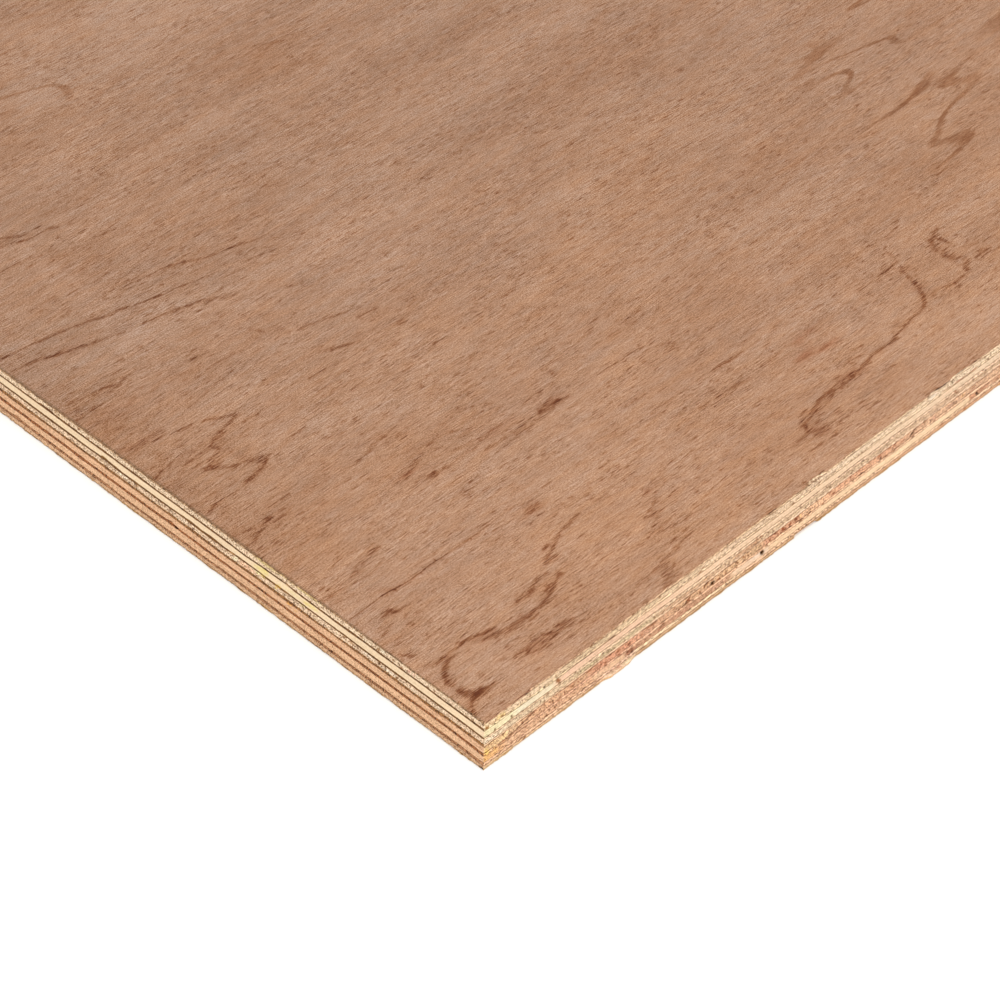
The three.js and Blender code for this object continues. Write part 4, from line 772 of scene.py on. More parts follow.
    (.3, 2.5, .5, [(48.6, 73.2), (54.0, 74.1)]), (.28, 3.5, 1.0, [(61.9, 75.2), (71.0, 75.6), (76.1, 76.6), (83.3, 77.4)]), (1.0, 2.2, .62, [(97.6, 73.4), (100.4, 73.2), (104.4, 73.0)]), (.85, 1.8, .4, [(97.0, 72.4), (101.0, 72.3), (106.6, 72.3)]),
    (.7, 1.8, .6, [(99.8, 74.6), (103.4, 74.8)]), (.35, 4.0, 1.8, [(99.0, 74.0), (104.0, 74.0)]), (.6, 1.6, .3, [(75.0, 73.0), (78.4, 72.9)]), (.5, 1.8, .3, [(82.0, 73.0), (86.0, 72.7), (90.4, 73.0)]), (.35, 2.2, .4, [(90.0, 73.4), (96.1, 73.4)]),
    (.5, 2.0, .25, [(79.7, 70.1), (84.0, 70.4), (86.4, 70.9)]), (.65, 2.0, .28, [(86.0, 71.1), (88.6, 71.1), (91.0, 70.8)]), (.5, 2.0, .28, [(92.0, 71.3), (99.0, 71.5)]), (.45, 1.8, .28, [(96.6, 78.9), (99.0, 79.2)]), (.55, 1.8, .28, [(99.6, 79.5), (103.4, 79.4)]),
    (.2, 5.0, 1.6, [(75.0, 72.5), (95.0, 72.5)]),
    # left edge, mid
    (.7, 1.3, .42, [(1.6, 95.9), (3.6, 95.6), (5.6, 95.0), (7.0, 94.4)]), (.6, 1.4, .4, [(1.4, 90.4), (3.6, 90.8), (5.6, 91.4)]), (.6, 1.4, .42, [(5.6, 92.0), (7.6, 92.7), (9.6, 93.0)]), (.7, 1.5, .45, [(12.6, 92.6), (16.6, 92.8)]),
    (.7, 1.5, .35, [(9.0, 94.0), (12.0, 94.2), (17.6, 94.4)]), (.6, 1.5, .28, [(9.4, 95.1), (12.0, 95.2), (17.4, 95.0)]), (.7, 1.2, .32, [(2.0, 87.6), (3.4, 87.7)]), (.75, 1.3, .3, [(15.4, 97.9), (18.4, 97.9)]), (.7, 1.3, .3, [(20.4, 97.9), (23.0, 98.0)]), (.55, 1.3, .3, [(10.8, 101.6), (13.4, 101.7)]), (.45, 1.3, .3, [(20.0, 102.4), (24.4, 102.4)]),
    (.8, 1.3, .5, [(1.9, 107.7), (4.0, 108.2), (5.6, 108.6)]), (.6, 1.5, .35, [(5.6, 109.0), (8.4, 109.2)]), (.45, 1.5, .25, [(8.4, 109.0), (14.0, 108.8)]),
    # zigzag
    (.9, 1.6, .5, [(18.2, 109.7), (20.4, 109.9), (22.6, 110.4), (24.6, 110.9), (26.4, 111.4)]), (.8, 1.4, .5, [(26.6, 111.8), (28.0, 112.6), (28.6, 113.4)]), (.85, 1.6, .42, [(26.0, 113.4), (29.6, 113.6)]), (.95, 1.3, .42, [(28.2, 114.5), (26.0, 114.8), (24.4, 115.1)]), (.85, 1.2, .42, [(25.4, 115.5), (23.8, 116.1)]),
    (1.0, 1.3, .55, [(21.2, 116.6), (19.6, 117.0)]), (.6, 1.2, .4, [(18.6, 117.9), (17.0, 118.8)]), (.8, 1.6, .5, [(15.4, 120.0), (17.0, 119.4)]), (.75, 1.7, .35, [(14.6, 120.9), (18.4, 120.4)]),
    (.85, 1.4, .42, [(13.0, 120.9), (15.6, 120.9)]), (.85, 1.4, .42, [(13.6, 121.6), (15.6, 121.8)]), (.7, 1.8, .32, [(13.6, 122.2), (17.2, 122.5)]), (.9, 1.3, .42, [(17.0, 123.6), (19.4, 123.9), (21.0, 124.3)]), (.5, 1.4, .35, [(12.4, 124.1), (14.4, 124.3)]), (.7, 1.2, .55, [(21.8, 125.0), (21.4, 126.6)]),
    (.6, 1.8, .32, [(20.8, 127.2), (24.6, 127.0)]), (.75, 1.5, .42, [(21.2, 127.8), (22.6, 128.5), (25.6, 128.8)]), (.8, 1.4, .42, [(23.6, 129.1), (27.0, 129.3)]), (.8, 1.4, .42, [(24.4, 130.1), (27.6, 130.5)]), (.75, 1.6, .42, [(29.0, 131.0), (32.0, 131.4)]), (.8, 1.5, .42, [(31.6, 132.0), (34.6, 132.2)]),
    (.66, 1.5, .45, [(34.8, 132.9), (32.6, 133.9), (30.4, 134.6), (29.0, 135.7), (27.0, 136.8)]), (.75, 1.5, .45, [(22.6, 137.9), (20.4, 138.1)]), (.5, 1.8, .32, [(17.2, 139.0), (22.6, 138.6)]), (.6, 1.6, .35, [(14.7, 140.1), (11.1, 140.3)]),
    (.3, 2.0, .4, [(9.0, 140.8), (2.6, 140.8)]), (.28, 5.0, 1.5, [(6.0, 142.0), (14.0, 142.6)]), (.45, 1.6, .3, [(8.0, 141.8), (12.0, 141.6)]), (.22, 4.0, 2.4, [(17.0, 121.0), (22.0, 125.0), (26.0, 113.0)]), (.35, 1.3, .35, [(3.3, 143.4), (1.5, 145.0)]),
    (.3, 2.4, .55, [(29.7, 144.2), (34.0, 145.3), (38.3, 146.2), (41.1, 146.8)]), (.3, 2.4, .5, [(41.1, 146.9), (45.4, 147.3), (51.1, 148.6)]),
    (.7, 1.6, .38, [(74.2, 147.7), (76.6, 147.4)]), (.5, 1.6, .35, [(77.0, 147.0), (80.0, 146.2), (83.3, 145.3)]), (.6, 1.5, .38, [(85.0, 144.9), (87.6, 144.4)]), (.35, 1.8, .35, [(88.0, 144.0), (90.4, 143.4)]), (.72, 1.6, .32, [(90.0, 139.7), (92.6, 139.5), (96.0, 138.9)]),
    (.7, 1.5, .42, [(72.4, 135.3), (74.8, 135.0)]), (.85, 1.4, .42, [(73.8, 134.2), (76.2, 133.9)]), (.75, 1.5, .40, [(75.6, 133.4), (78.6, 132.9)]), (.55, 1.5, .3, [(78.0, 132.5), (81.4, 132.1)]), (.78, 1.5, .28, [(60.5, 129.5), (66.0, 129.4)]),
    (.6, 1.5, .35, [(96.0, 128.8), (98.2, 128.5)]), (.45, 1.4, .3, [(96.6, 129.9), (98.6, 129.8)]), (.7, 1.5, .32, [(97.0, 115.6), (100.0, 115.5)]), (.85, 1.4, .30, [(40.8, 114.9), (44.4, 115.0)]), (.45, 1.6, .28, [(34.6, 128.4), (39.0, 128.5)]),
    (.4, 1.8, .35, [(55.6, 106.8), (58.4, 107.0)]), (.35, 1.6, .3, [(47.0, 107.4), (50.6, 107.6)]), (.35, 1.6, .3, [(34.0, 105.9), (36.0, 105.8)]), (.4, 1.8, .3, [(59.0, 120.4), (62.0, 120.8)]), (.35, 1.6, .3, [(90.6, 117.6), (92.6, 117.6)]),
    (.3, 2.2, .35, [(52.0, 96.3), (58.0, 96.7), (64.0, 97.6)]), (.3, 2.0, .35, [(44.0, 94.0), (51.0, 95.2)]), (.7, 1.2, .32, [(1.2, 128.4), (3.4, 128.8)]), (.45, 1.4, .3, [(4.0, 129.3), (8.0, 129.8)]), (.55, 1.4, .3, [(10.0, 126.8), (13.4, 126.8)]), (.5, 1.4, .3, [(15.0, 127.2), (19.0, 127.1)]),
    (.8, 1.4, .28, [(1.5, 161.9), (4.6, 162.0)]), (.8, 1.5, .28, [(6.6, 162.2), (11.0, 162.3)]), (.45, 1.5, .25, [(11.0, 162.2), (16.0, 162.4)]), (.85, 1.5, .5, [(15.0, 167.2), (17.0, 166.9)]), (.8, 1.6, .45, [(17.4, 166.4), (19.6, 165.8), (22.4, 166.2)]),
    (.7, 1.5, .32, [(18.0, 165.2), (20.4, 165.2)]), (.6, 1.4, .32, [(15.0, 164.1), (16.8, 164.2)]), (.4, 1.6, .35, [(3.3, 168.9), (6.1, 169.1)]), (.25, 2.6, .5, [(7.0, 168.4), (14.0, 167.4)]), (.4, 1.5, .3, [(21.0, 163.4), (22.6, 163.6)]),
    (.6, 1.3, .32, [(41.6, 159.4), (43.4, 159.2)]), (.3, 1.5, .5, [(50.6, 162.4), (52.0, 161.4)]), (.3, 1.5, .5, [(62.0, 158.8), (63.4, 158.4), (64.0, 156.0), (65.0, 154.0)]), (.4, 1.5, .3, [(76.0, 161.0), (78.4, 161.2)]),
    (.45, 2.0, .35, [(45.0, 153.2), (52.0, 152.8)]), (.3, 1.8, .4, [(7.6, 157.6), (11.0, 158.0)]), (.3, 1.8, .4, [(7.6, 174.2), (12.0, 174.4)]),
    # long lines up the left
    (.85, 1.5, .38, [(2.9, 197.5), (8.3, 197.0), (13.0, 196.5), (17.0, 196.1)]), (.9, 1.5, .42, [(17.0, 195.9), (20.4, 195.3), (23.6, 194.9)]), (.7, 1.5, .4, [(24.0, 194.5), (28.3, 194.0), (31.0, 193.4)]), (.95, 1.4, .45, [(31.0, 193.3), (33.8, 192.8)]),
    (.75, 1.4, .42, [(34.0, 192.3), (36.4, 191.4), (39.0, 191.1)]), (.85, 1.4, .42, [(39.0, 191.1), (42.4, 190.7), (45.0, 189.9)]), (.75, 1.4, .36, [(46.6, 189.3), (50.4, 188.5), (52.6, 188.1)]), (1.0, 1.4, .5, [(52.6, 188.0), (54.8, 187.5)]),
    (.5, 1.6, .32, [(55.4, 187.2), (59.0, 186.9), (62.6, 186.5)]), (.5, 1.5, .36, [(62.6, 186.4), (65.0, 185.7), (67.0, 185.2)]), (.42, 1.6, .3, [(68.6, 185.0), (74.0, 184.2)]), (.28, 1.8, .35, [(75.0, 183.6), (85.4, 181.8), (94.7, 179.9), (103.0, 179.0)]),
    (.7, 1.4, .36, [(2.2, 191.0), (6.9, 190.7)]), (.9, 1.5, .45, [(7.0, 190.2), (10.0, 189.8), (12.2, 189.5)]), (.5, 1.6, .45, [(10.0, 190.4), (12.6, 190.6)]), (1.0, 1.5, .5, [(12.6, 188.9), (15.4, 187.9), (17.0, 187.5)]), (.6, 1.6, .35, [(13.0, 188.4), (18.6, 188.4)]),
    (.85, 1.5, .42, [(17.6, 187.2), (20.4, 186.5), (23.4, 185.9)]), (.7, 1.5, .4, [(23.6, 185.3), (27.0, 184.3), (31.0, 183.6)]), (.4, 1.6, .7, [(32.6, 183.4), (35.0, 182.6), (37.0, 182.1)]), (.7, 1.4, .35, [(43.0, 181.3), (45.0, 181.1)]),
    (.6, 1.7, .4, [(46.0, 180.6), (50.0, 180.2), (54.0, 179.3)]), (.75, 1.6, .4, [(52.6, 179.0), (56.6, 178.6)]), (.9, 1.5, .42, [(57.0, 178.3), (60.0, 177.9), (62.6, 177.2)]), (.6, 1.6, .4, [(61.0, 176.3), (63.6, 175.9)]), (.65, 1.4, .65, [(63.6, 175.6), (66.0, 174.9), (67.4, 173.8)]),
    (.5, 1.6, .35, [(68.0, 173.0), (72.0, 172.3)]), (.4, 1.6, .35, [(48.3, 198.0), (51.0, 197.9)]), (.6, 1.3, .32, [(50.0, 198.0), (52.2, 197.9)]), (.35, 1.6, .28, [(54.0, 197.5), (58.0, 197.0)]), (.55, 1.5, .3, [(58.0, 197.0), (63.3, 196.5), (66.6, 196.1)]),
    (.75, 1.4, .38, [(66.0, 195.9), (69.0, 195.0), (71.0, 194.3)]), (.6, 1.4, .38, [(72.0, 193.4), (74.4, 192.4)]), (.75, 1.5, .38, [(74.4, 192.1), (77.0, 191.5), (79.0, 191.1)]), (.5, 1.5, .32, [(79.6, 190.6), (84.0, 190.3)]), (.85, 1.5, .42, [(84.0, 190.2), (86.6, 189.6), (88.4, 189.2)]),
    (.45, 1.6, .35, [(89.0, 188.6), (91.9, 187.7), (96.9, 187.0)]), (.3, 1.6, .32, [(88.6, 179.4), (92.0, 178.0), (97.0, 176.8)]), (.3, 1.6, .3, [(76.0, 180.4), (86.0, 179.8)]), (.35, 1.8, .3, [(85.0, 181.9), (90.0, 181.4)]),
    # top left
    (.7, 1.5, .45, [(36.0, 238.0), (38.4, 237.6), (40.0, 237.2)]), (.85, 1.4, .5, [(41.0, 236.2), (42.6, 235.4), (44.4, 235.2)]), (.8, 1.6, .42, [(45.0, 235.1), (48.3, 235.1), (51.9, 234.9), (54.0, 233.8)]), (.75, 1.3, .6, [(38.8, 241.2), (40.2, 240.0), (41.6, 239.2)]),
    (.5, 1.6, .5, [(42.0, 238.8), (44.0, 237.8)]), (.6, 1.7, .35, [(44.0, 237.7), (50.0, 237.6)]), (.6, 1.7, .32, [(28.0, 228.6), (31.6, 228.7), (34.6, 228.6)]), (.35, 1.8, .35, [(30.0, 231.0), (36.0, 231.2)]), (.6, 1.1, .35, [(35.4, 224.8), (36.8, 224.9)]),
    (.5, 1.3, .32, [(40.0, 226.4), (41.6, 226.5)]), (.45, 1.6, .4, [(59.0, 221.8), (62.0, 221.6), (66.0, 221.0)]), (.4, 1.8, .3, [(19.6, 218.8), (24.0, 218.6)]), (.5, 1.4, .35, [(13.6, 210.6), (15.4, 210.5)]), (.35, 1.8, .3, [(24.0, 208.4), (31.6, 208.9)]),
    (.4, 1.8, .25, [(43.0, 213.2), (47.0, 213.2)]), (.35, 1.6, .3, [(45.6, 206.0), (50.0, 206.0)]), (.3, 1.6, .25, [(70.0, 208.8), (77.0, 208.7)]),
    # right, middle
    (.5, 2.0, .35, [(131.0, 42.5), (134.6, 42.4)]), (.45, 2.0, .3, [(137.0, 42.2), (142.0, 42.2), (147.6, 42.1)]), (.4, 2.0, .3, [(157.0, 42.2), (163.0, 42.3)]), (.6, 1.4, .45, [(129.6, 117.2), (132.6, 117.5)]), (.45, 1.6, .3, [(126.0, 116.6), (131.0, 116.4)]),
    (.5, 1.5, .35, [(148.8, 121.4), (150.4, 121.8)]), (.65, 1.4, .32, [(132.4, 88.2), (135.0, 88.3)]), (.4, 1.6, .3, [(130.6, 87.4), (133.0, 87.0)]), (.5, 1.7, .25, [(143.0, 83.7), (145.6, 83.9), (148.0, 84.3)]), (.35, 1.5, .25, [(148.6, 84.0), (150.4, 84.0)]),
    (.65, 1.7, .25, [(131.0, 72.7), (135.8, 72.7)]), (.3, 1.8, .25, [(121.4, 72.8), (130.0, 72.7)]), (.5, 1.2, .3, [(128.6, 68.2), (129.6, 68.3)]), (.5, 1.4, .28, [(118.0, 79.0), (120.4, 79.0)]), (.4, 1.5, .3, [(120.6, 68.6), (122.6, 68.4)]),
    (.5, 1.4, .28, [(107.8, 20.6), (109.4, 20.6)]), (.6, 1.1, .25, [(142.8, 26.6), (144.0, 26.6)]), (.45, 1.5, .25, [(143.0, 31.7), (144.0, 31.7)]), (.45, 1.7, .25, [(162.0, 25.7), (165.6, 25.4)]), (.6, 1.2, .28, [(221.8, 15.7), (225.0, 15.3)]),
    (.6, .9, .3, [(199.8, 19.7), (200.4, 19.7)]), (.45, 1.7, .25, [(231.6, 20.5), (236.4, 20.4)]), (.55, 1.2, .25, [(115.4, 64.6), (117.0, 64.6)]), (.45, 1.6, .28, [(118.0, 4.0), (124.0, 4.0)]), (.55, 1.2, .28, [(127.4, 14.0), (128.8, 14.0)]),
    (.4, 1.2, .4, [(131.4, 16.6), (132.0, 16.4)]), (.45, 1.5, .25, [(158.0, 53.9), (159.6, 53.9)]), (.45, 1.5, .25, [(160.0, 53.0), (162.0, 53.0)]), (.5, 1.5, .25, [(164.0, 8.7), (170.0, 8.5)]), (.35, 1.5, .4, [(192.0, 57.0), (193.0, 56.4)]),
    (.35, 2.0, .5, [(163.6, 47.6), (166.6, 47.6)]), (.3, 1.4, .6, [(164.4, 46.6), (165.0, 43.4)]), (.3, 2.4, .6, [(168.0, 49.0), (176.0, 52.0)]), (.55, 1.2, .3, [(197.4, 48.3), (198.2, 48.3)]), (.35, 2.0, .35, [(117.0, 58.0), (124.0, 57.4)]),
    (.4, 1.6, .25, [(173.0, 106.0), (174.4, 106.0)]), (.3, 2.0, .35, [(115.0, 93.0), (119.0, 92.4)]), (.4, 1.8, .3, [(122.0, 86.7), (125.0, 86.7)]), (.3, 2.0, .5, [(117.0, 85.4), (120.0, 85.8)]), (.4, 1.6, .28, [(127.0, 97.6), (131.0, 98.0)]),
    (.45, 1.2, .4, [(107.0, 62.2), (108.6, 62.0)]), (.4, 1.4, .3, [(106.6, 46.6), (108.4, 46.0)]), (.4, 1.8, .3, [(184.0, 25.0), (176.0, 25.8)]),
]
# open crack along the grain, in the same form
CRACK = [
    (.14, .9, .12, [(.5, 51.0), (6.0, 51.1), (10.6, 51.3), (13.4, 51.5)]), (.06, .9, .12, [(37.4, 50.8), (44.4, 50.7), (53.0, 50.9)]), (.03, .9, .12, [(53.0, 50.9), (61.4, 51.3), (77.8, 51.0)]), (.2, .8, .12, [(1.6, 51.0), (6.0, 51.1)]),
    (.24, .8, .12, [(8.6, 51.3), (10.6, 51.3)]), (.66, .7, .12, [(13.4, 51.5), (15.0, 51.4), (17.4, 51.2)]), (.52, .7, .12, [(17.2, 51.1), (20.2, 50.7)]), (.26, .8, .12, [(20.2, 50.6), (24.6, 50.5)]),
    (.34, .8, .12, [(24.6, 50.6), (28.6, 50.7)]), (.5, .8, .12, [(28.8, 50.9), (33.6, 50.9)]), (.32, .8, .12, [(34.0, 50.8), (37.4, 50.8)]), (.24, .8, .12, [(44.4, 50.6), (48.4, 50.6)]),
    (.1, .8, .12, [(51.4, 50.9), (53.0, 50.9)]), (.08, .8, .12, [(61.4, 51.4), (63.6, 51.3)]), (.16, .8, .12, [(74.8, 51.0), (77.8, 51.0)]), (.32, 1.0, .12, [(146.1, 51.0), (148.0, 50.9), (151.0, 50.6), (153.0, 50.3)]),
    (.2, 1.1, .12, [(152.0, 50.2), (158.0, 50.5)]), (.05, 1.1, .12, [(158.0, 50.5), (166.0, 50.6)]),
]
# reddish patches: (strength, half length, half height, x, y)
REDDISH = [(0.75, 3.6, 1.3, 170, 36.6), (0.7, 5, 0.8, 177.6, 34.9), (0.55, 3, 0.6, 174.6, 42.5), (0.5, 2.2, 0.7, 179.4, 42.8), (0.45, 2.6, 0.5, 173.4, 41.1),
           (0.23, 6, 1.4, 31, 10), (0.2, 3, 2, 67, 46.8), (0.15, 2.6, 1.6, 94.5, 29.5), (0.5, 3.2, 0.8, 52, 80.9), (0.2, 6, 2, 102, 74.6),
           (0.15, 9, 1.8, 84, 76.6), (0.17, 7, 2.2, 172, 21.8), (0.17, 3, 3, 148.5, 12), (0.15, 4, 1.2, 58, 34), (0.15, 8, 1.6, 9, 142.5),
           (0.17, 3, 2, 218.5, 33), (0.12, 6, 1.6, 22, 21.5), (0.15, 4, 1.2, 34, 20), (0.12, 5, 3, 20, 187), (0.12, 8, 3, 10, 157)]
# broad tone: (change, half length, half height, x, y)
TONES = [(.11, 9.0, 6.0, 24.0, 52.0), (.11, 9.0, 6.0, 60.0, 52.0), (.10, 9.0, 7.0, 62.0, 20.0), (.11, 8.0, 7.0, 114.0, 20.0), (.10, 9.0, 7.0, 188.0, 68.0),
         (.10, 14.0, 9.0, 104.0, 170.0), (-.08, 10.0, 8.0, 6.0, 172.0), (-.08, 9.0, 8.0, 24.0, 192.0), (-.07, 14.0, 7.0, 68.0, 132.0), (-.08, 8.0, 7.0, 150.0, 116.0),
         (-.07, 9.0, 7.0, 24.0, 116.0), (-.07, 8.0, 7.0, 78.0, 112.0), (.05, 12.0, 7.0, 114.0, 66.0),
         (.10, 20.0, 10.0, 92.0, 21.0), (.10, 12.0, 7.0, 196.0, 68.0), (.09, 18.0, 16.0, 122.0, 160.0), (-.10, 10.0, 30.0, 4.0, 138.0), (.07, 14.0, 9.0, 100.0, 84.0),
         (.09, 3.6, 24.0, 38.6, 212.0), (.05, 9.0, 7.0, 52.0, 65.0), (.05, 6.0, 22.0, 106.0, 98.0), (.05, 4.0, 8.0, 63.0, 211.0), (.04, 5.0, 6.0, 29.0, 155.0),
         (-.05, 11.0, 40.0, 3.0, 150.0), (-.04, 8.0, 30.0, 3.0, 75.0), (-.04, 14.0, 7.0, 74.0, 3.0), (.03, 16.0, 12.0, 120.0, 32.0), (.04, 12.0, 12.0, 192.0, 34.0),
         (-.04, 20.0, 10.0, 200.0, 60.0), (-.04, 12.0, 10.0, 240.0, 40.0), (-.03, 25.0, 8.0, 95.0, 88.0), (.03, 30.0, 20.0, 75.0, 160.0), (-.03, 10.0, 14.0, 50.0, 215.0),
         (.04, 20.0, 9.0, 45.0, 45.0), (-.04, 10.0, 5.0, 5.0, 5.0), (.03, 14.0, 10.0, 205.0, 12.0), (.03, 12.0, 14.0, 160.0, 100.0), (-.03, 22.0, 9.0, 100.0, 12.0)]


def stroke_points(points, step=0.35):
    out = []
    for (xa, ya), (xb, yb) in zip(points[:-1], points[1:]):
        n = max(1, int(math.ceil(math.hypot(xb - xa, yb - ya) / step)))
        out += [(xa + (xb - xa) * i / n, ya + (yb - ya) * i / n) for i in range(n)]
    out.append(points[-1])
    return np.array(out)


THIN = 0.37        # strokes narrower than this are drawn as fine lines


def ended(points, more):
    """A stroke carried a little beyond both ends."""
    p = [np.array(v, float) for v in points]
    a, b = p[0] - p[1], p[-1] - p[-2]
    return [tuple(p[0] + a / np.hypot(*a) * more)] + [tuple(v) for v in p] + [tuple(p[-1] + b / np.hypot(*b) * more)]


def face_points(ring):
    """Points of the top face: close together where the figure is, far apart elsewhere."""
    px, py = [], []

    def lattice(x0, x1, y0, y1, dx, dy, seed):
        gx, gy = np.meshgrid(np.arange(x0, x1, dx), np.arange(y0, y1, dy))
        gx = gx + (np.arange(gx.shape[0]) % 2)[:, None] * dx * 0.5
        return gx.ravel(), gy.ravel()

    fx, fy = lattice(0.3, 256, 0.3, 250, 0.90, 0.38, 1)
    near = np.full(len(fx), 9.0)
    cell = 4.0
    key = (fx // cell).astype(int) * 1000 + (fy // cell).astype(int)
    order = np.argsort(key, kind="stable")
    keys, first = np.unique(key[order], return_index=True)
    last = np.append(first[1:], len(order))
    where = {int(k): (int(a), int(b)) for k, a, b in zip(keys, first, last)}
    for strength, sx, sy, pts in FIGURE_AND_ARRIS_SHADE:
        for cx, cy in stroke_points(pts, 1.6):
            rx, ry = min(sx, 2.6) * 1.5, min(sy, 1.2) * 1.9
            for kx in range(int((cx - rx) // cell), int((cx + rx) // cell) + 1):
                for ky in range(int((cy - ry) // cell), int((cy + ry) // cell) + 1):
                    if kx * 1000 + ky in where:
                        a, b = where[kx * 1000 + ky]
                        i = order[a:b]
                        d = np.hypot((fx[i] - cx) / rx, (fy[i] - cy) / ry)
                        near[i] = np.minimum(near[i], d)
    tx, ty = [], []
    for strength, sx, sy, pts in FIGURE_AND_ARRIS_SHADE + CRACK:
        if sy < THIN:
            line = ended(pts, 0.8 * sx)
            off = 0.36 if sy > 0.2 or strength < 0.2 else 0.18 if sy < .15 else 0.21
            for dy, step in ((0.0, 0.55), (off, 1.1), (-off, 1.1)):
                p = stroke_points(line, step)
                tx.append(p[:, 0]); ty.append(p[:, 1] + dy)
    px.append(np.concatenate(tx)); py.append(np.concatenate(ty))
    rows = np.arange(1.4, 250.0, 0.75)
    bx, by = np.concatenate([rows * 0 + v for v in (0.34, 0.72, 1.15)]), np.concatenate([rows, rows + 0.3, rows])
    for _, hx, hy, cx, cy in REDDISH:
        near = np.minimum(near, np.where((np.arange(len(fx)) % 2 == 0), np.hypot((fx - cx) / hx, (fy - cy) / hy) / 1.5, 9.0))
    keep = near < 1.0
    px.append(fx[keep]); py.append(fy[keep])
    mx, my = lattice(1.5, 262, 1.5, 256, 3.2, 1.6, 2)
    px.append(mx); py.append(my)
    cx, cy = lattice(7.0, LEN - 5, 7.0, WID - 5, 15.0, 9.0, 3)
    far = (cx > 266) | (cy > 260)
    px.append(cx[far]); py.append(cy[far])
    x, y = np.concatenate(px), np.concatenate(py)
    ok = (x > 1.5) & (y > 1.3) & (x < LEN - 3) & (y < WID - 3)
    return np.stack([np.concatenate([x[ok], bx]), np.concatenate([y[ok], by])], -1)


def drawn(x, y, strokes, finest=0.28):
    """Density of a list of strokes at points (from the corner)."""
    dens = np.zeros(len(x))
    for strength, sx, sy, pts in strokes:
        p = stroke_points(pts)
        lo, hi = p.min(0) - (4 * sx, 4 * sy), p.max(0) + (4 * sx, 4 * sy)
        i = np.nonzero((x > lo[0]) & (x < hi[0]) & (y > lo[1]) & (y < hi[1]))[0]
        if not len(i):
            continue
        kx, ky = sx * 0.74, (max(sy, finest) if sy < THIN else sy * 0.84)
        best = np.full(len(i), 99.0)
        for a in range(0, len(p), 24):
            q = p[a:a + 24]
            d = ((x[i][:, None] - q[:, 0]) / kx) ** 2 + ((y[i][:, None] - q[:, 1]) / ky) ** 2
            best = np.minimum(best, d.min(1))
        halo = 0.34 * np.exp(-best / 5.0) if THIN <= sy < 0.95 else 0.0
        dens[i] = np.maximum(dens[i], 0.95 * strength ** 0.9 * np.maximum(np.exp(-best), halo))
    return dens


def reddish_at(x, y):
    red = np.zeros(len(x))
    for s, hx, hy, cx, cy in REDDISH:
        d = ((x - cx) / hx) ** 2 + ((y - cy) / hy) ** 2
        red = np.maximum(red, s * np.exp(-d))
    return red


def tone_and_light_falloff_at(x, y):
    # painted light falloff: the face is drawn brighter near the front edge and darkest 190–260 mm back; TONES add the
    # wood's own patches
    t = table([(0, .075), (40, .065), (62, .02), (100, -.02), (150, -.04), (190, -.07), (260, -.07), (420, -.02), (650, 0)], y + 0.12 * x)
    for s, hx, hy, cx, cy in TONES:
        t += s * np.exp(-(((x - cx) / hx) ** 2 + ((y - cy) / hy) ** 2))
    return t


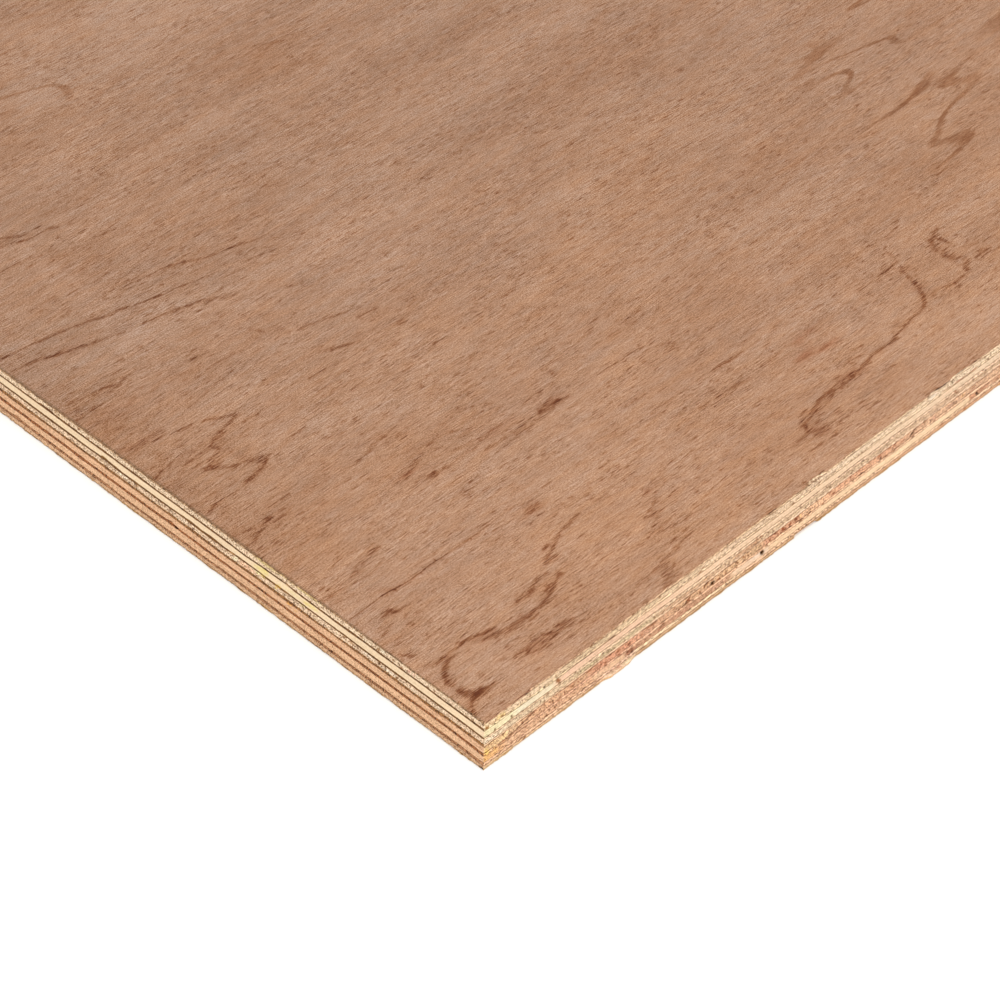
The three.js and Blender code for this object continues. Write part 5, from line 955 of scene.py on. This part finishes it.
# ============================================================ node helpers
class Nodes:
    def __init__(self, mat):
        mat.use_nodes = True
        self.t = mat.node_tree
        self.t.nodes.clear()
        self.out = self.t.nodes.new("ShaderNodeOutputMaterial")

    def node(self, kind, **props):
        n = self.t.nodes.new(kind)
        for k, v in props.items():
            setattr(n, k, v)
        return n

    def plug(self, socket, value):
        if isinstance(value, bpy.types.NodeSocket):
            self.t.links.new(value, socket)
        elif value is not None:
            socket.default_value = value

    def math(self, op, a, b=None, c=None, clamp=False):
        n = self.node("ShaderNodeMath", operation=op, use_clamp=clamp)
        for s, v in zip(n.inputs, (a, b, c)):
            self.plug(s, v)
        return n.outputs[0]

    def add(self, a, b): return self.math("ADD", a, b)
    def sub(self, a, b): return self.math("SUBTRACT", a, b)
    def mul(self, a, b): return self.math("MULTIPLY", a, b)
    def mad(self, a, b, c): return self.math("MULTIPLY_ADD", a, b, c)

    def attr(self, name, out="Fac"):
        n = self.node("ShaderNodeAttribute", attribute_type="GEOMETRY", attribute_name=name)
        return n.outputs[out]

    def split(self, v):
        n = self.node("ShaderNodeSeparateXYZ")
        self.plug(n.inputs[0], v)
        return n.outputs[0], n.outputs[1], n.outputs[2]

    def join(self, x, y, z=0.0):
        n = self.node("ShaderNodeCombineXYZ")
        for s, v in zip(n.inputs, (x, y, z)):
            self.plug(s, v)
        return n.outputs[0]

    def noise(self, vec, detail=2.0, rough=0.5, scale=1.0, distortion=0.0):
        n = self.node("ShaderNodeTexNoise", noise_dimensions="3D")
        self.plug(n.inputs["Vector"], vec)
        n.inputs["Scale"].default_value = scale
        n.inputs["Detail"].default_value = detail
        n.inputs["Roughness"].default_value = rough
        n.inputs["Distortion"].default_value = distortion
        return n.outputs["Fac"]

    def cells(self, vec):
        """Scattered points: distance to the nearest one, and a number of its own."""
        n = self.node("ShaderNodeTexVoronoi", voronoi_dimensions="3D", feature="F1")
        self.plug(n.inputs["Vector"], vec)
        n.inputs["Scale"].default_value = 1.0
        return n.outputs["Distance"], self.split(n.outputs["Color"])[0]

    def ramp(self, v, a, b, lo=0.0, hi=1.0, smoothed=True):
        n = self.node("ShaderNodeMapRange", interpolation_type="SMOOTHSTEP" if smoothed else "LINEAR", clamp=True)
        for s, x in zip((n.inputs["Value"], n.inputs["From Min"], n.inputs["From Max"], n.inputs["To Min"], n.inputs["To Max"]), (v, a, b, lo, hi)):
            self.plug(s, x)
        return n.outputs[0]

    def mix(self, fac, a, b, kind="MIX"):
        n = self.node("ShaderNodeMix", data_type="RGBA", blend_type=kind)
        self.plug(n.inputs[0], fac)
        self.plug(n.inputs[6], a)
        self.plug(n.inputs[7], b)
        return n.outputs[2]

    def scale_colour(self, colour, factor):
        n = self.node("ShaderNodeVectorMath", operation="SCALE")
        self.plug(n.inputs[0], colour)
        self.plug(n.inputs["Scale"], factor)
        return n.outputs[0]

    def tint(self, colour, t, k):
        """colour * (1 + t * k), channel by channel, never quite black."""
        n = self.node("ShaderNodeVectorMath", operation="MULTIPLY")
        self.plug(n.inputs[0], colour)
        self.plug(n.inputs[1], self.join(*(self.math("MAXIMUM", self.mad(t, v, 1.0), 0.16) for v in k)))
        return n.outputs[0]

    def deepen(self, colour, t, k):
        """colour * exp(-t * k), channel by channel."""
        n = self.node("ShaderNodeVectorMath", operation="MULTIPLY")
        self.plug(n.inputs[0], colour)
        self.plug(n.inputs[1], self.join(*(self.math("POWER", math.exp(-v), t) for v in k)))
        return n.outputs[0]

    def bump(self, height, strength, distance):
        n = self.node("ShaderNodeBump")
        n.inputs["Strength"].default_value = strength
        n.inputs["Distance"].default_value = distance
        self.plug(n.inputs["Height"], height)
        return n.outputs["Normal"]

    def finish(self, colour, rough, normal, specular=0.3):
        p = self.node("ShaderNodeBsdfPrincipled")
        self.plug(p.inputs["Base Color"], colour)
        self.plug(p.inputs["Roughness"], rough)
        self.plug(p.inputs["Specular IOR Level"], specular)
        self.plug(p.inputs["Normal"], normal)
        self.t.links.new(p.outputs[0], self.out.inputs[0])
        return p


def rgba(c, light=1.0):
    return tuple(float(v) / light for v in lin(c)) + (1.0,)


def millimetres(n, tc=None):
    tc = tc or n.node("ShaderNodeTexCoord")
    v = n.node("ShaderNodeVectorMath", operation="SCALE")
    n.plug(v.inputs[0], tc.outputs["Object"])
    v.inputs["Scale"].default_value = 1000.0
    return v.outputs[0]


def edge_material(name, pore_col, glue_ratio, rough, seed):
    """Sawn edge of a ply. Colours and strengths come from the mesh; the grain,
    pores, saw marks and glue lines are made here."""
    mat = bpy.data.materials.new(name)
    n = Nodes(mat)
    place = n.node("ShaderNodeTexCoord")
    x, y, z = n.split(millimetres(n, place))
    up = n.split(place.outputs["Normal"])[2]
    s = n.add(x, y)
    lumps = n.noise(n.join(n.mul(s, .42), n.mul(z, 1.6), seed + 1.3), 2.0, .55)
    specks = n.noise(n.join(n.mul(s, 2.6), n.mul(z, 2.2), seed + 7.7), 1.0, .6)
    dashes = n.noise(n.join(n.mul(s, .85), n.mul(z, 2.5), seed + 9.1), 1.0, .6)
    saw_s = n.mad(z, .45, s)
    saw = n.noise(n.join(n.mul(saw_s, 1.9), n.mul(z, .50), seed + 13.1), 1.0, .6)
    dots, keep = n.cells(n.join(n.mul(s, .95), n.mul(z, 1.25), seed + 23.9))
    fibres = n.noise(n.join(n.mul(s, .10), n.mul(z, 2.0), seed + 31.7), 1.0, .55)
    w1 = n.split(n.attr("tex_a", "Vector"))
    w2 = n.split(n.attr("tex_b", "Vector"))
    # grain: specks on the ends, drawn out into short dashes on the long edges
    drawn_out = w2[2]
    speckled = n.math("SQRT", n.sub(1.0, n.mul(drawn_out, drawn_out)))
    fine = n.add(n.mul(n.sub(specks, .5), speckled), n.mul(n.sub(dashes, .5), drawn_out))
    lo, hi, half = n.split(n.attr("glue_d", "Vector"))
    slo, shi, hole_shade = n.split(n.attr("glue_and_hole_shade", "Vector"))

    def swing(layer, gain, weight):
        return n.mul(n.mul(n.sub(layer, 0.5), gain), weight)
    total = n.add(swing(lumps, 2.4, w1[0]), n.mul(n.mul(fine, 8.4), w1[1]))
    total = n.add(total, swing(saw, 8.0, w1[2]))
    total = n.add(total, swing(fibres, 6.0, w2[1]))
    total = n.sub(total, n.mul(n.math("MAXIMUM", n.sub(total, .08), 0.0), .45))
    base = n.tint(n.attr("ply_colour", "Color"), total, (.88, 1.02, 1.14))
    # painted shade: faces of the edge that point up are drawn up to 26% darker, to offset the stronger light they get
    # from above
    base = n.scale_colour(base, n.mad(n.math("MAXIMUM", up, 0.0), -.26, 1.0))
    # pores: small dark dots and short dashes
    pm = n.mul(n.mul(n.ramp(dots, .16, .30, 1.0, 0.0), n.ramp(keep, .30, .70)), w2[0])
    base = n.mix(n.math("MINIMUM", n.mul(pm, 1.5), .9), base, rgba(pore_col))
    # painted shade: the further the edge sits back, the darker it is drawn, so deep holes go dark
    base = n.deepen(base, n.ramp(hole_shade, .04, .70, 0.0, 2.9), (1.0, 1.35, 1.9))
    # glue lines
    wob = n.noise(n.join(n.mul(s, .5), seed + 3.1, n.mul(z, .2)), 2.0, .6)
    wide = n.mul(half, n.mad(wob, 1.0, .6))
    strong = n.ramp(n.noise(n.join(n.mul(s, .16), seed + 8.1, n.mul(z, .15)), 2.0, .6), .30, .62, .45, 1.15, False)
    g = n.math("MAXIMUM", n.mul(n.ramp(n.math("DIVIDE", lo, wide), .15, 1.0, 1.0, 0.0), slo),
               n.mul(n.ramp(n.math("DIVIDE", hi, wide), .15, 1.0, 1.0, 0.0), shi))
    g = n.math("MINIMUM", n.mul(g, strong), 1.0)
    rim = n.math("MAXIMUM", n.mul(n.ramp(n.math("ABSOLUTE", n.sub(lo, n.mul(wide, 2.1))), 0.0, .22, 1.0, 0.0), slo),
                 n.mul(n.ramp(n.math("ABSOLUTE", n.sub(hi, n.mul(wide, 2.1))), 0.0, .22, 1.0, 0.0), shi))
    base = n.scale_colour(base, n.mad(rim, .15, 1.0))
    dark = n.mix(1.0, base, tuple(glue_ratio) + (1.0,), "MULTIPLY")
    colour = n.mix(g, base, dark)
    height = n.add(n.add(n.mul(fine, .5), n.mul(saw, .4)), n.mad(pm, -.8, n.mul(g, -.35)))
    normal = n.bump(height, .55, .00012)
    # no specular inside the holes where shade is painted
    n.finish(colour, rough, normal, n.ramp(hole_shade, .04, .60, .16, 0.0))
    return mat


def face_material(name, light, back=False):
    """Veneer face: fibres, pores, broad tone with a painted light falloff, and figure with painted shade along the
    front arris.
    """
    mat = bpy.data.materials.new(name)
    n = Nodes(mat)
    x, y, z = n.split(millimetres(n))
    seed = 40.0 if back else 0.0
    sway = n.noise(n.join(n.mul(x, .008), n.mul(y, .02), seed), 0.0, .5)
    yy = n.mad(sway, 5.0, y)
    broad = n.noise(n.join(n.mul(x, .012), n.mul(yy, .045), seed + 2), 2.0, .5)
    streak = n.noise(n.join(n.mul(x, .05), n.mul(yy, .50), seed + 4), 3.0, .55)
    fibre = n.noise(n.join(n.mul(x, .055), n.mul(yy, 2.0), seed + 6), 1.0, .70)
    fine = n.noise(n.join(n.mul(x, .30), n.mul(yy, 2.8), seed + 8), 1.0, .75)
    hair = n.noise(n.join(n.mul(x, .16), n.mul(yy, 3.9), seed + 9), 0.0, .5)
    grit = n.noise(n.join(n.mul(x, 2.2), n.mul(y, 3.4), seed + 10), 0.0, .5)
    cloud = n.noise(n.join(n.mul(x, .045), n.mul(yy, .13), seed + 16), 1.0, .5)
    marks = n.noise(n.join(n.mul(x, .26), n.mul(yy, 3.0), seed + 12), 1.0, .5)
    scars = n.noise(n.join(n.mul(x, .13), n.mul(yy, 1.3), seed + 13), 1.0, .5)
    where = n.noise(n.join(n.mul(x, .035), n.mul(y, .09), seed + 14), 2.0, .5)
    fa, fd, red = n.split(n.attr("figure", "Vector"))
    tone_and_light_falloff, _, win = n.split(n.attr("tone_and_light_falloff", "Vector"))

    def swing(layer, amount):
        return n.mul(n.sub(layer, 0.5), amount)
    busy = n.ramp(where, .34, .66, .65, 1.25)
    total = n.mul(n.add(swing(fibre, .46), swing(fine, 1.05)), busy)
    total = n.add(total, n.add(swing(broad, .26), swing(streak, .12)))
    total = n.add(total, swing(cloud, .24))
    total = n.add(total, n.add(swing(hair, .72), swing(grit, 1.5)))
    # wood tone together with the painted light falloff
    total = n.add(total, tone_and_light_falloff)
    light_c, dark_c = rgba((191, 147, 116), light), rgba((183, 138, 107), light)
    base = n.mix(n.ramp(n.add(n.mul(streak, .5), n.mul(broad, .5)), .38, .62), dark_c, light_c)
    base = n.tint(base, total, (.76, 1.06, 1.42))
    # the veneer is a little warmer in some places than in others
    warm = n.noise(n.join(n.mul(x, .016), n.mul(yy, .030), seed + 51), 1.0, .5)
    warm_2 = n.noise(n.join(n.mul(x, .09), n.mul(yy, .30), seed + 53), 2.0, .65)
    hue = n.add(n.add(swing(warm, 5.5), swing(warm_2, 9.5)), n.ramp(n.sub(y, Y0), 0.0, 190.0, 1.7, -1.6, False))
    base = n.tint(base, hue, (.0165, -.0065, -.0395))
    # pores: short dark dashes along the grain
    some = n.ramp(where, .36, .64, .30, 1.0)
    pm = n.math("MAXIMUM", n.mul(n.ramp(marks, .61, .67), some), n.mul(n.ramp(scars, .68, .74), .7))
    # traced figure, with painted shade along the front arris: the mesh holds how much there is, the fibres break it up
    dash = n.noise(n.join(n.mul(x, .26), n.mul(y, 3.9), seed + 20), 1.0, .6)
    broken = n.mad(n.sub(dash, .5), 3.9, fa)
    depth = n.ramp(n.noise(n.join(n.mul(x, .16), n.mul(y, .9), seed + 22), 1.0, .5), .35, .65, .66, 1.05)
    fig = n.mul(n.mul(n.ramp(broken, .26, .96, 0.0, 1.02), n.ramp(fa, .05, .28)), depth)
    fig = n.math("MAXIMUM", fig, fd)                # open cracks are not broken up
    soft = n.mul(n.ramp(fa, .03, .80), .16)
    # figure elsewhere: contour lines of a slow field drawn out along the grain
    field = n.noise(n.join(n.mul(x, .0034), n.mul(y, .020), seed + 26), 3.0, .5, distortion=.35)
    f1 = n.math("FRACT", n.mul(field, 17.0))
    line = n.math("ABSOLUTE", n.mul(n.sub(f1, .5), 2.0))
    jag = n.noise(n.join(n.mul(x, .10), n.mul(y, 1.1), seed + 28), 2.0, .6)
    thick = n.mad(jag, .34, -.07)
    patchy = n.ramp(n.noise(n.join(n.mul(x, .010), n.mul(y, .026), seed + 30), 2.0, .6), .46, .62)
    wild = n.mul(n.mul(n.ramp(n.sub(line, thick), -.02, .10, 1.0, 0.0), patchy), n.ramp(dash, .36, .60, .35, 1.0))
    wild = n.mul(wild, n.sub(1.0, win))
    total_fig = n.math("MAXIMUM", fig, n.mul(wild, .62 if not back else .45))
    shade = n.add(n.math("MAXIMUM", total_fig, n.mul(pm, .66)), soft)
    colour = n.deepen(n.deepen(base, shade, (.96, 1.62, 2.35)), n.mad(fd, .30, red), (.42, .85, 1.15))
    dotted = n.ramp(n.noise(n.join(n.mul(x, 1.2), n.mul(y, 1.1), seed + 34), 1.0, .6), .34, .62, .45, 1.0)
    # dark fibres and painted shade along the arris at the ends
    inward = n.sub(-X0, n.math("ABSOLUTE", x))
    reach = n.ramp(n.sub(y, Y0), 25.0, 75.0, .55, 1.30)
    arris_fringe_and_shade = n.ramp(inward, .05, reach, 0.0 if back else .8, 0.0)
    colour = n.mix(n.mul(arris_fringe_and_shade, dotted), colour, rgba((104, 78, 46), light))
    height = n.add(n.add(n.mul(fibre, .5), n.mul(fine, .5)), n.add(n.mul(grit, .2), n.mad(pm, -.8, n.mul(total_fig, -.2))))
    normal = n.bump(height, .5, .00010)
    rough = n.ramp(total_fig, 0.0, 1.0, .66, .74, False)
    n.finish(colour, rough, normal, .20)
    return mat


RED_GLUE, PALE_GLUE = (.42, .25, .15), (.46, .33, .20)
MATS = {
    "face_veneer": edge_material("edge_face_veneer", (92, 54, 32), (.52, .40, .32), .78, 1.0),
    "back_veneer": edge_material("edge_back_veneer", (106, 66, 40), (.60, .48, .38), .80, 11.0),
    "cross_ply_pale": edge_material("edge_cross_pale", (130, 90, 56), PALE_GLUE, .80, 21.0),
    "cross_ply_cream": edge_material("edge_cross_cream", (190, 144, 100), PALE_GLUE, .72, 31.0),
    "cross_ply_red": edge_material("edge_cross_red", (138, 74, 42), RED_GLUE, .80, 41.0),
    "cross_ply_brown": edge_material("edge_cross_brown", (128, 76, 42), RED_GLUE, .82, 51.0),
    "long_ply_pale": edge_material("edge_long_pale", (88, 58, 30), PALE_GLUE, .82, 61.0),
    "long_ply_red": edge_material("edge_long_red", (92, 48, 26), RED_GLUE, .82, 71.0),
}
FACE = face_material("veneer_face", LIGHT_TOP)
BACK = face_material("veneer_back", LIGHT_TOP, back=True)

# ================================================================ the plies
PIECES = []
BLOCKS = 16                                   # the edge strip is folded into this many rows of texture
TOTAL = 2 * (LEN + WID)


def uv_strip(perim, centre, frac, band0, band1):
    """Texture place of edge points: rows of the folded strip between v = band0 and band1."""
    block = np.minimum((centre / TOTAL * BLOCKS).astype(int), BLOCKS - 1)
    length = TOTAL / BLOCKS
    uu = (perim - block * length) / length * 0.97 + 0.015
    h = (band1 - band0) / BLOCKS
    return np.stack([np.clip(uu, 0.0, 1.0), band0 + h * (block + 0.12 + 0.76 * frac)], -1)


def uv_plan(xy, box):
    a, b, c, d = box
    return np.stack([a + (xy[:, 0] - X0) / LEN * (c - a), b + (xy[:, 1] - Y0) / WID * (d - b)], -1)


def build_ply(k):
    name = PLIES[k]
    frac = row_fractions(Z_CAD[k + 1] - Z_CAD[k])
    R = len(frac)
    z = ZB[k][None, :] + frac[:, None] * (ZB[k + 1] - ZB[k])[None, :]
    out = relief(k, z, frac[:, None])
    out = np.maximum(out, -0.85 * CORNER[None, :])                # the outline never crosses itself at a corner
    xy = RING[None] + OUT[None] * out[..., None]
    ring = np.concatenate([xy, z[..., None]], -1)                 # (R, N, 3)
    verts = [ring.reshape(-1, 3)]
    count = R * N
    inner = np.vstack([IN_PTS, IN_GRID])
    faces, sm, mats = [], [], []
    a = (np.arange(R - 1)[:, None] * N + np.arange(N)[None, :]).ravel()
    b = (np.arange(R - 1)[:, None] * N + (np.arange(N)[None, :] + 1) % N).ravel()
    quads = np.stack([a, b, b + N, a + N], -1)
    faces.append(quads); sm.append(True); mats.append(0)
    # underside
    base = count
    verts.append(np.column_stack([inner, np.full(len(inner), Z_CAD[k])]))
    count += len(inner)
    for f in cap(0, base, False):
        faces.append(f); sm.append(False); mats.append(1 if k == 0 else 0)
    # upper side
    if k < NP - 1:
        base = count
        verts.append(np.column_stack([inner, np.full(len(inner), Z_CAD[k + 1])]))
        count += len(inner)
        for f in cap((R - 1) * N, base, True):
            faces.append(f); sm.append(False); mats.append(0)
        top_n = 0
    else:
        top_ring = ring[-1][:, :2]
        pts = face_points(top_ring)
        world = pts + (X0, Y0)
        tris = cdt(np.vstack([top_ring, world]), N)
        base = count
        verts.append(np.column_stack([world, np.full(len(world), Z_CAD[NP])]))
        count += len(world)
        tris = np.where(tris < N, tris + (R - 1) * N, tris - N + base)
        faces.append(tris); sm.append(False); mats.append(1)
        top_n = len(world)
    V = np.vstack(verts)
    me = new_mesh(name, V, faces, sm, mats)

    # ---- vertex attributes
    total = len(V)
    col = np.ones((total, 4))
    col[:, :3] = lin(LONG_COL[k]) / LIGHT_LONG
    ec = edge_colour(k, z, None)
    dlo = z - ZB[k][None, :]
    dhi = ZB[k + 1][None, :] - z
    near_end = IS_END
    wl, we = np.array(W_LONG[k]), np.array(W_END[k])
    w = np.where(near_end[:, None], we, wl)
    if k == 3:
        rf = np.where(FRONT & (U < 230), table(ROUGH_3, U), 0.7)
        w = np.where(near_end[:, None], w, w * np.stack([rf, 0.35 + 0.65 * rf, rf, rf, np.ones(N)], -1))
    n_edge = R * N
    col[:n_edge, :3] = ec.reshape(-1, 3)
    put(me, "ply_colour", "FLOAT_COLOR", col)
    ta, tb = np.zeros((total, 3)), np.zeros((total, 3))
    ta[:] = wl[:3]
    tb[:, :2], tb[:, 2] = wl[3:], DRAWN_OUT[k]
    ta[:n_edge] = np.tile(w[:, :3], (R, 1))
    tb[:n_edge, :2] = np.tile(w[:, 3:], (R, 1))
    tb[:n_edge, 2] = np.tile(np.where(near_end, 0.0, DRAWN_OUT[k]), R)
    put(me, "tex_a", "FLOAT_VECTOR", ta)
    put(me, "tex_b", "FLOAT_VECTOR", tb)
    gd, gs = np.full((total, 3), 9.0), np.zeros((total, 3))
    gd[:, 2] = 0.3
    gd[:n_edge, 0] = dlo.ravel()
    gd[:n_edge, 1] = dhi.ravel()
    half = np.where(near_end, 0.20, 0.21)
    gd[:n_edge, 2] = np.tile(half, R)
    lo_s = np.where(near_end, G_END[k - 1] if k > 0 else .3, G_LONG[k - 1] if k > 0 else .2)
    hi_s = np.where(near_end, G_END[k] if k < NP - 1 else .3, G_LONG[k] if k < NP - 1 else .25)
    if k <= 2:                                       # the loose sliver hides the lines behind it
        clear = 1.0 - 0.9 * FRONT * bump(U, 51.8, 15.0, .75)
        lo_s, hi_s = lo_s * clear, hi_s * clear
    gs[:n_edge, 0] = np.tile(lo_s, R)
    gs[:n_edge, 1] = np.tile(hi_s, R)
    # painted shade: how far the edge sits back beyond 0.22 mm, which the edge material darkens
    if k not in (0, 1, 11, 12):
        gs[:n_edge, 2] = np.clip(-out - 0.22, 0.0, 3.0).ravel()
    if k == 4:                                       # the floor of the hole in the ply above gets painted shadow
        gs[(np.abs(V[:, 0] - X0 - 89.0) < .75) & (V[:, 1] > Y0 + 6.0) & (V[:, 1] < Y0 + 12.0), 2] = 12.0
    put(me, "glue_d", "FLOAT_VECTOR", gd)
    put(me, "glue_and_hole_shade", "FLOAT_VECTOR", gs)
    if k in (0, NP - 1):
        fig, tone_and_light_falloff = np.zeros((total, 3)), np.zeros((total, 3))
        if k == NP - 1:
            x, y = V[:, 0] - X0, V[:, 1] - Y0
            top = V[:, 2] > Z_CAD[NP] - 1e-6
            i = np.nonzero(top & (x < 280) & (y < 280))[0]
            fig[i, 0], fig[i, 1], fig[i, 2] = drawn(x[i], y[i], FIGURE_AND_ARRIS_SHADE), 3.0 * drawn(x[i], y[i], CRACK, 0.12), reddish_at(x[i], y[i])
            tone_and_light_falloff[i, 0] = tone_and_light_falloff_at(x[i], y[i])
            # inside the close-up part the drawn figure takes over from the wild one
            d = np.maximum(x / 262.0, y / 256.0)
            tone_and_light_falloff[:, 2] = 1 - smooth(0.97, 1.12, d)
        put(me, "figure", "FLOAT_VECTOR", fig)
        put(me, "tone_and_light_falloff", "FLOAT_VECTOR", tone_and_light_falloff)

    # ---- texture coordinates, in the OFBake map
    uv = me.uv_layers.new(name="OFBake")
    nl = len(me.loops)
    li = np.empty(nl, np.int32)
    me.loops.foreach_get("vertex_index", li)
    coords = np.zeros((nl, 2))
    nq = len(quads) * 4
    vid = li[:nq]
    row, colm = vid // N, vid % N
    quad_of = np.repeat(np.arange(len(quads)), 4)
    first = quads[quad_of, 0] % N
    pa = PERIM[first]
    pb = np.where((first + 1) % N == 0, TOTAL, PERIM[(first + 1) % N])
    own = np.where((colm == 0) & (first == N - 1), TOTAL, PERIM[colm])
    strip_top = 1.0 if 0 < k < NP - 1 else 0.48
    strip_bot = 0.30 if 0 < k < NP - 1 else 0.04
    coords[:nq] = uv_strip(own, (pa + pb) / 2, frac[row], strip_bot, strip_top)
    rest = li[nq:]
    under = V[rest][:, 2] < (Z_CAD[k] + Z_CAD[k + 1]) / 2
    if 0 < k < NP - 1:
        lo_box, hi_box = (.01, .01, .49, .27), (.51, .01, .99, .27)
    elif k == 0:
        lo_box, hi_box = (.005, .50, .995, .995), (.60, .005, .70, .035)
    else:
        lo_box, hi_box = (.60, .005, .70, .035), (.005, .50, .995, .995)
    p = V[rest][:, :2]
    coords[nq:] = np.where(under[:, None], uv_plan(p, lo_box), uv_plan(p, hi_box))
    uv.data.foreach_set("uv", coords.astype(np.float32).ravel())

    me.materials.append(MATS[SLOTS[k]])
    if k == 0:
        me.materials.append(BACK)
    if k == NP - 1:
        me.materials.append(FACE)
    ob = bpy.data.objects.new("ply_" + name, me)
    bpy.context.scene.collection.objects.link(ob)
    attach(ob, "root")
    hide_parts(name)
    PIECES.append(ob)
    return len(faces[0]) * 2 + sum(len(f) * (f.shape[1] - 2) for f in faces[1:])


tri_counts = {PLIES[k]: build_ply(k) for k in range(NP)}
print("triangles", sum(tri_counts.values()), tri_counts)

# ================================================================== studio
floor_me = bpy.data.meshes.new("floor")
floor_me.from_pydata([(-12, -12, -0.0002), (12, -12, -0.0002), (12, 12, -0.0002), (-12, 12, -0.0002)], [], [(0, 1, 2, 3)])
floor = bpy.data.objects.new("floor", floor_me)
bpy.context.scene.collection.objects.link(floor)
fm = bpy.data.materials.new("floor_paper")
fn = Nodes(fm)
fn.finish((0.93, 0.93, 0.92, 1.0), 0.9, None, 0.1)
floor_me.materials.append(fm)

world = bpy.data.worlds.new("studio")
bpy.context.scene.world = world
world.use_nodes = True
bg = world.node_tree.nodes.get("Background") or world.node_tree.nodes.new("ShaderNodeBackground")
bg.inputs["Color"].default_value = (1.0, 1.0, 1.0, 1.0)
bg.inputs["Strength"].default_value = 1.0


def area(name, size, power, at, target):
    d = bpy.data.lights.new(name, "AREA")
    d.shape = "SQUARE"
    d.size = size
    d.energy = power
    d.color = (1.0, 1.0, 1.0)
    o = bpy.data.objects.new(name, d)
    o.location = at
    o.rotation_euler = (Vector(target) - Vector(at)).to_track_quat("-Z", "Y").to_euler()
    bpy.context.scene.collection.objects.link(o)
    return o


area("key", 2.4, 80.0, (-1.6, -1.9, 3.0), (0.0, 0.0, 0.0))

scene = bpy.context.scene
scene.view_settings.view_transform = "Standard"
scene.view_settings.look = "None"
scene.view_settings.exposure = 0.0
scene.view_settings.gamma = 1.0
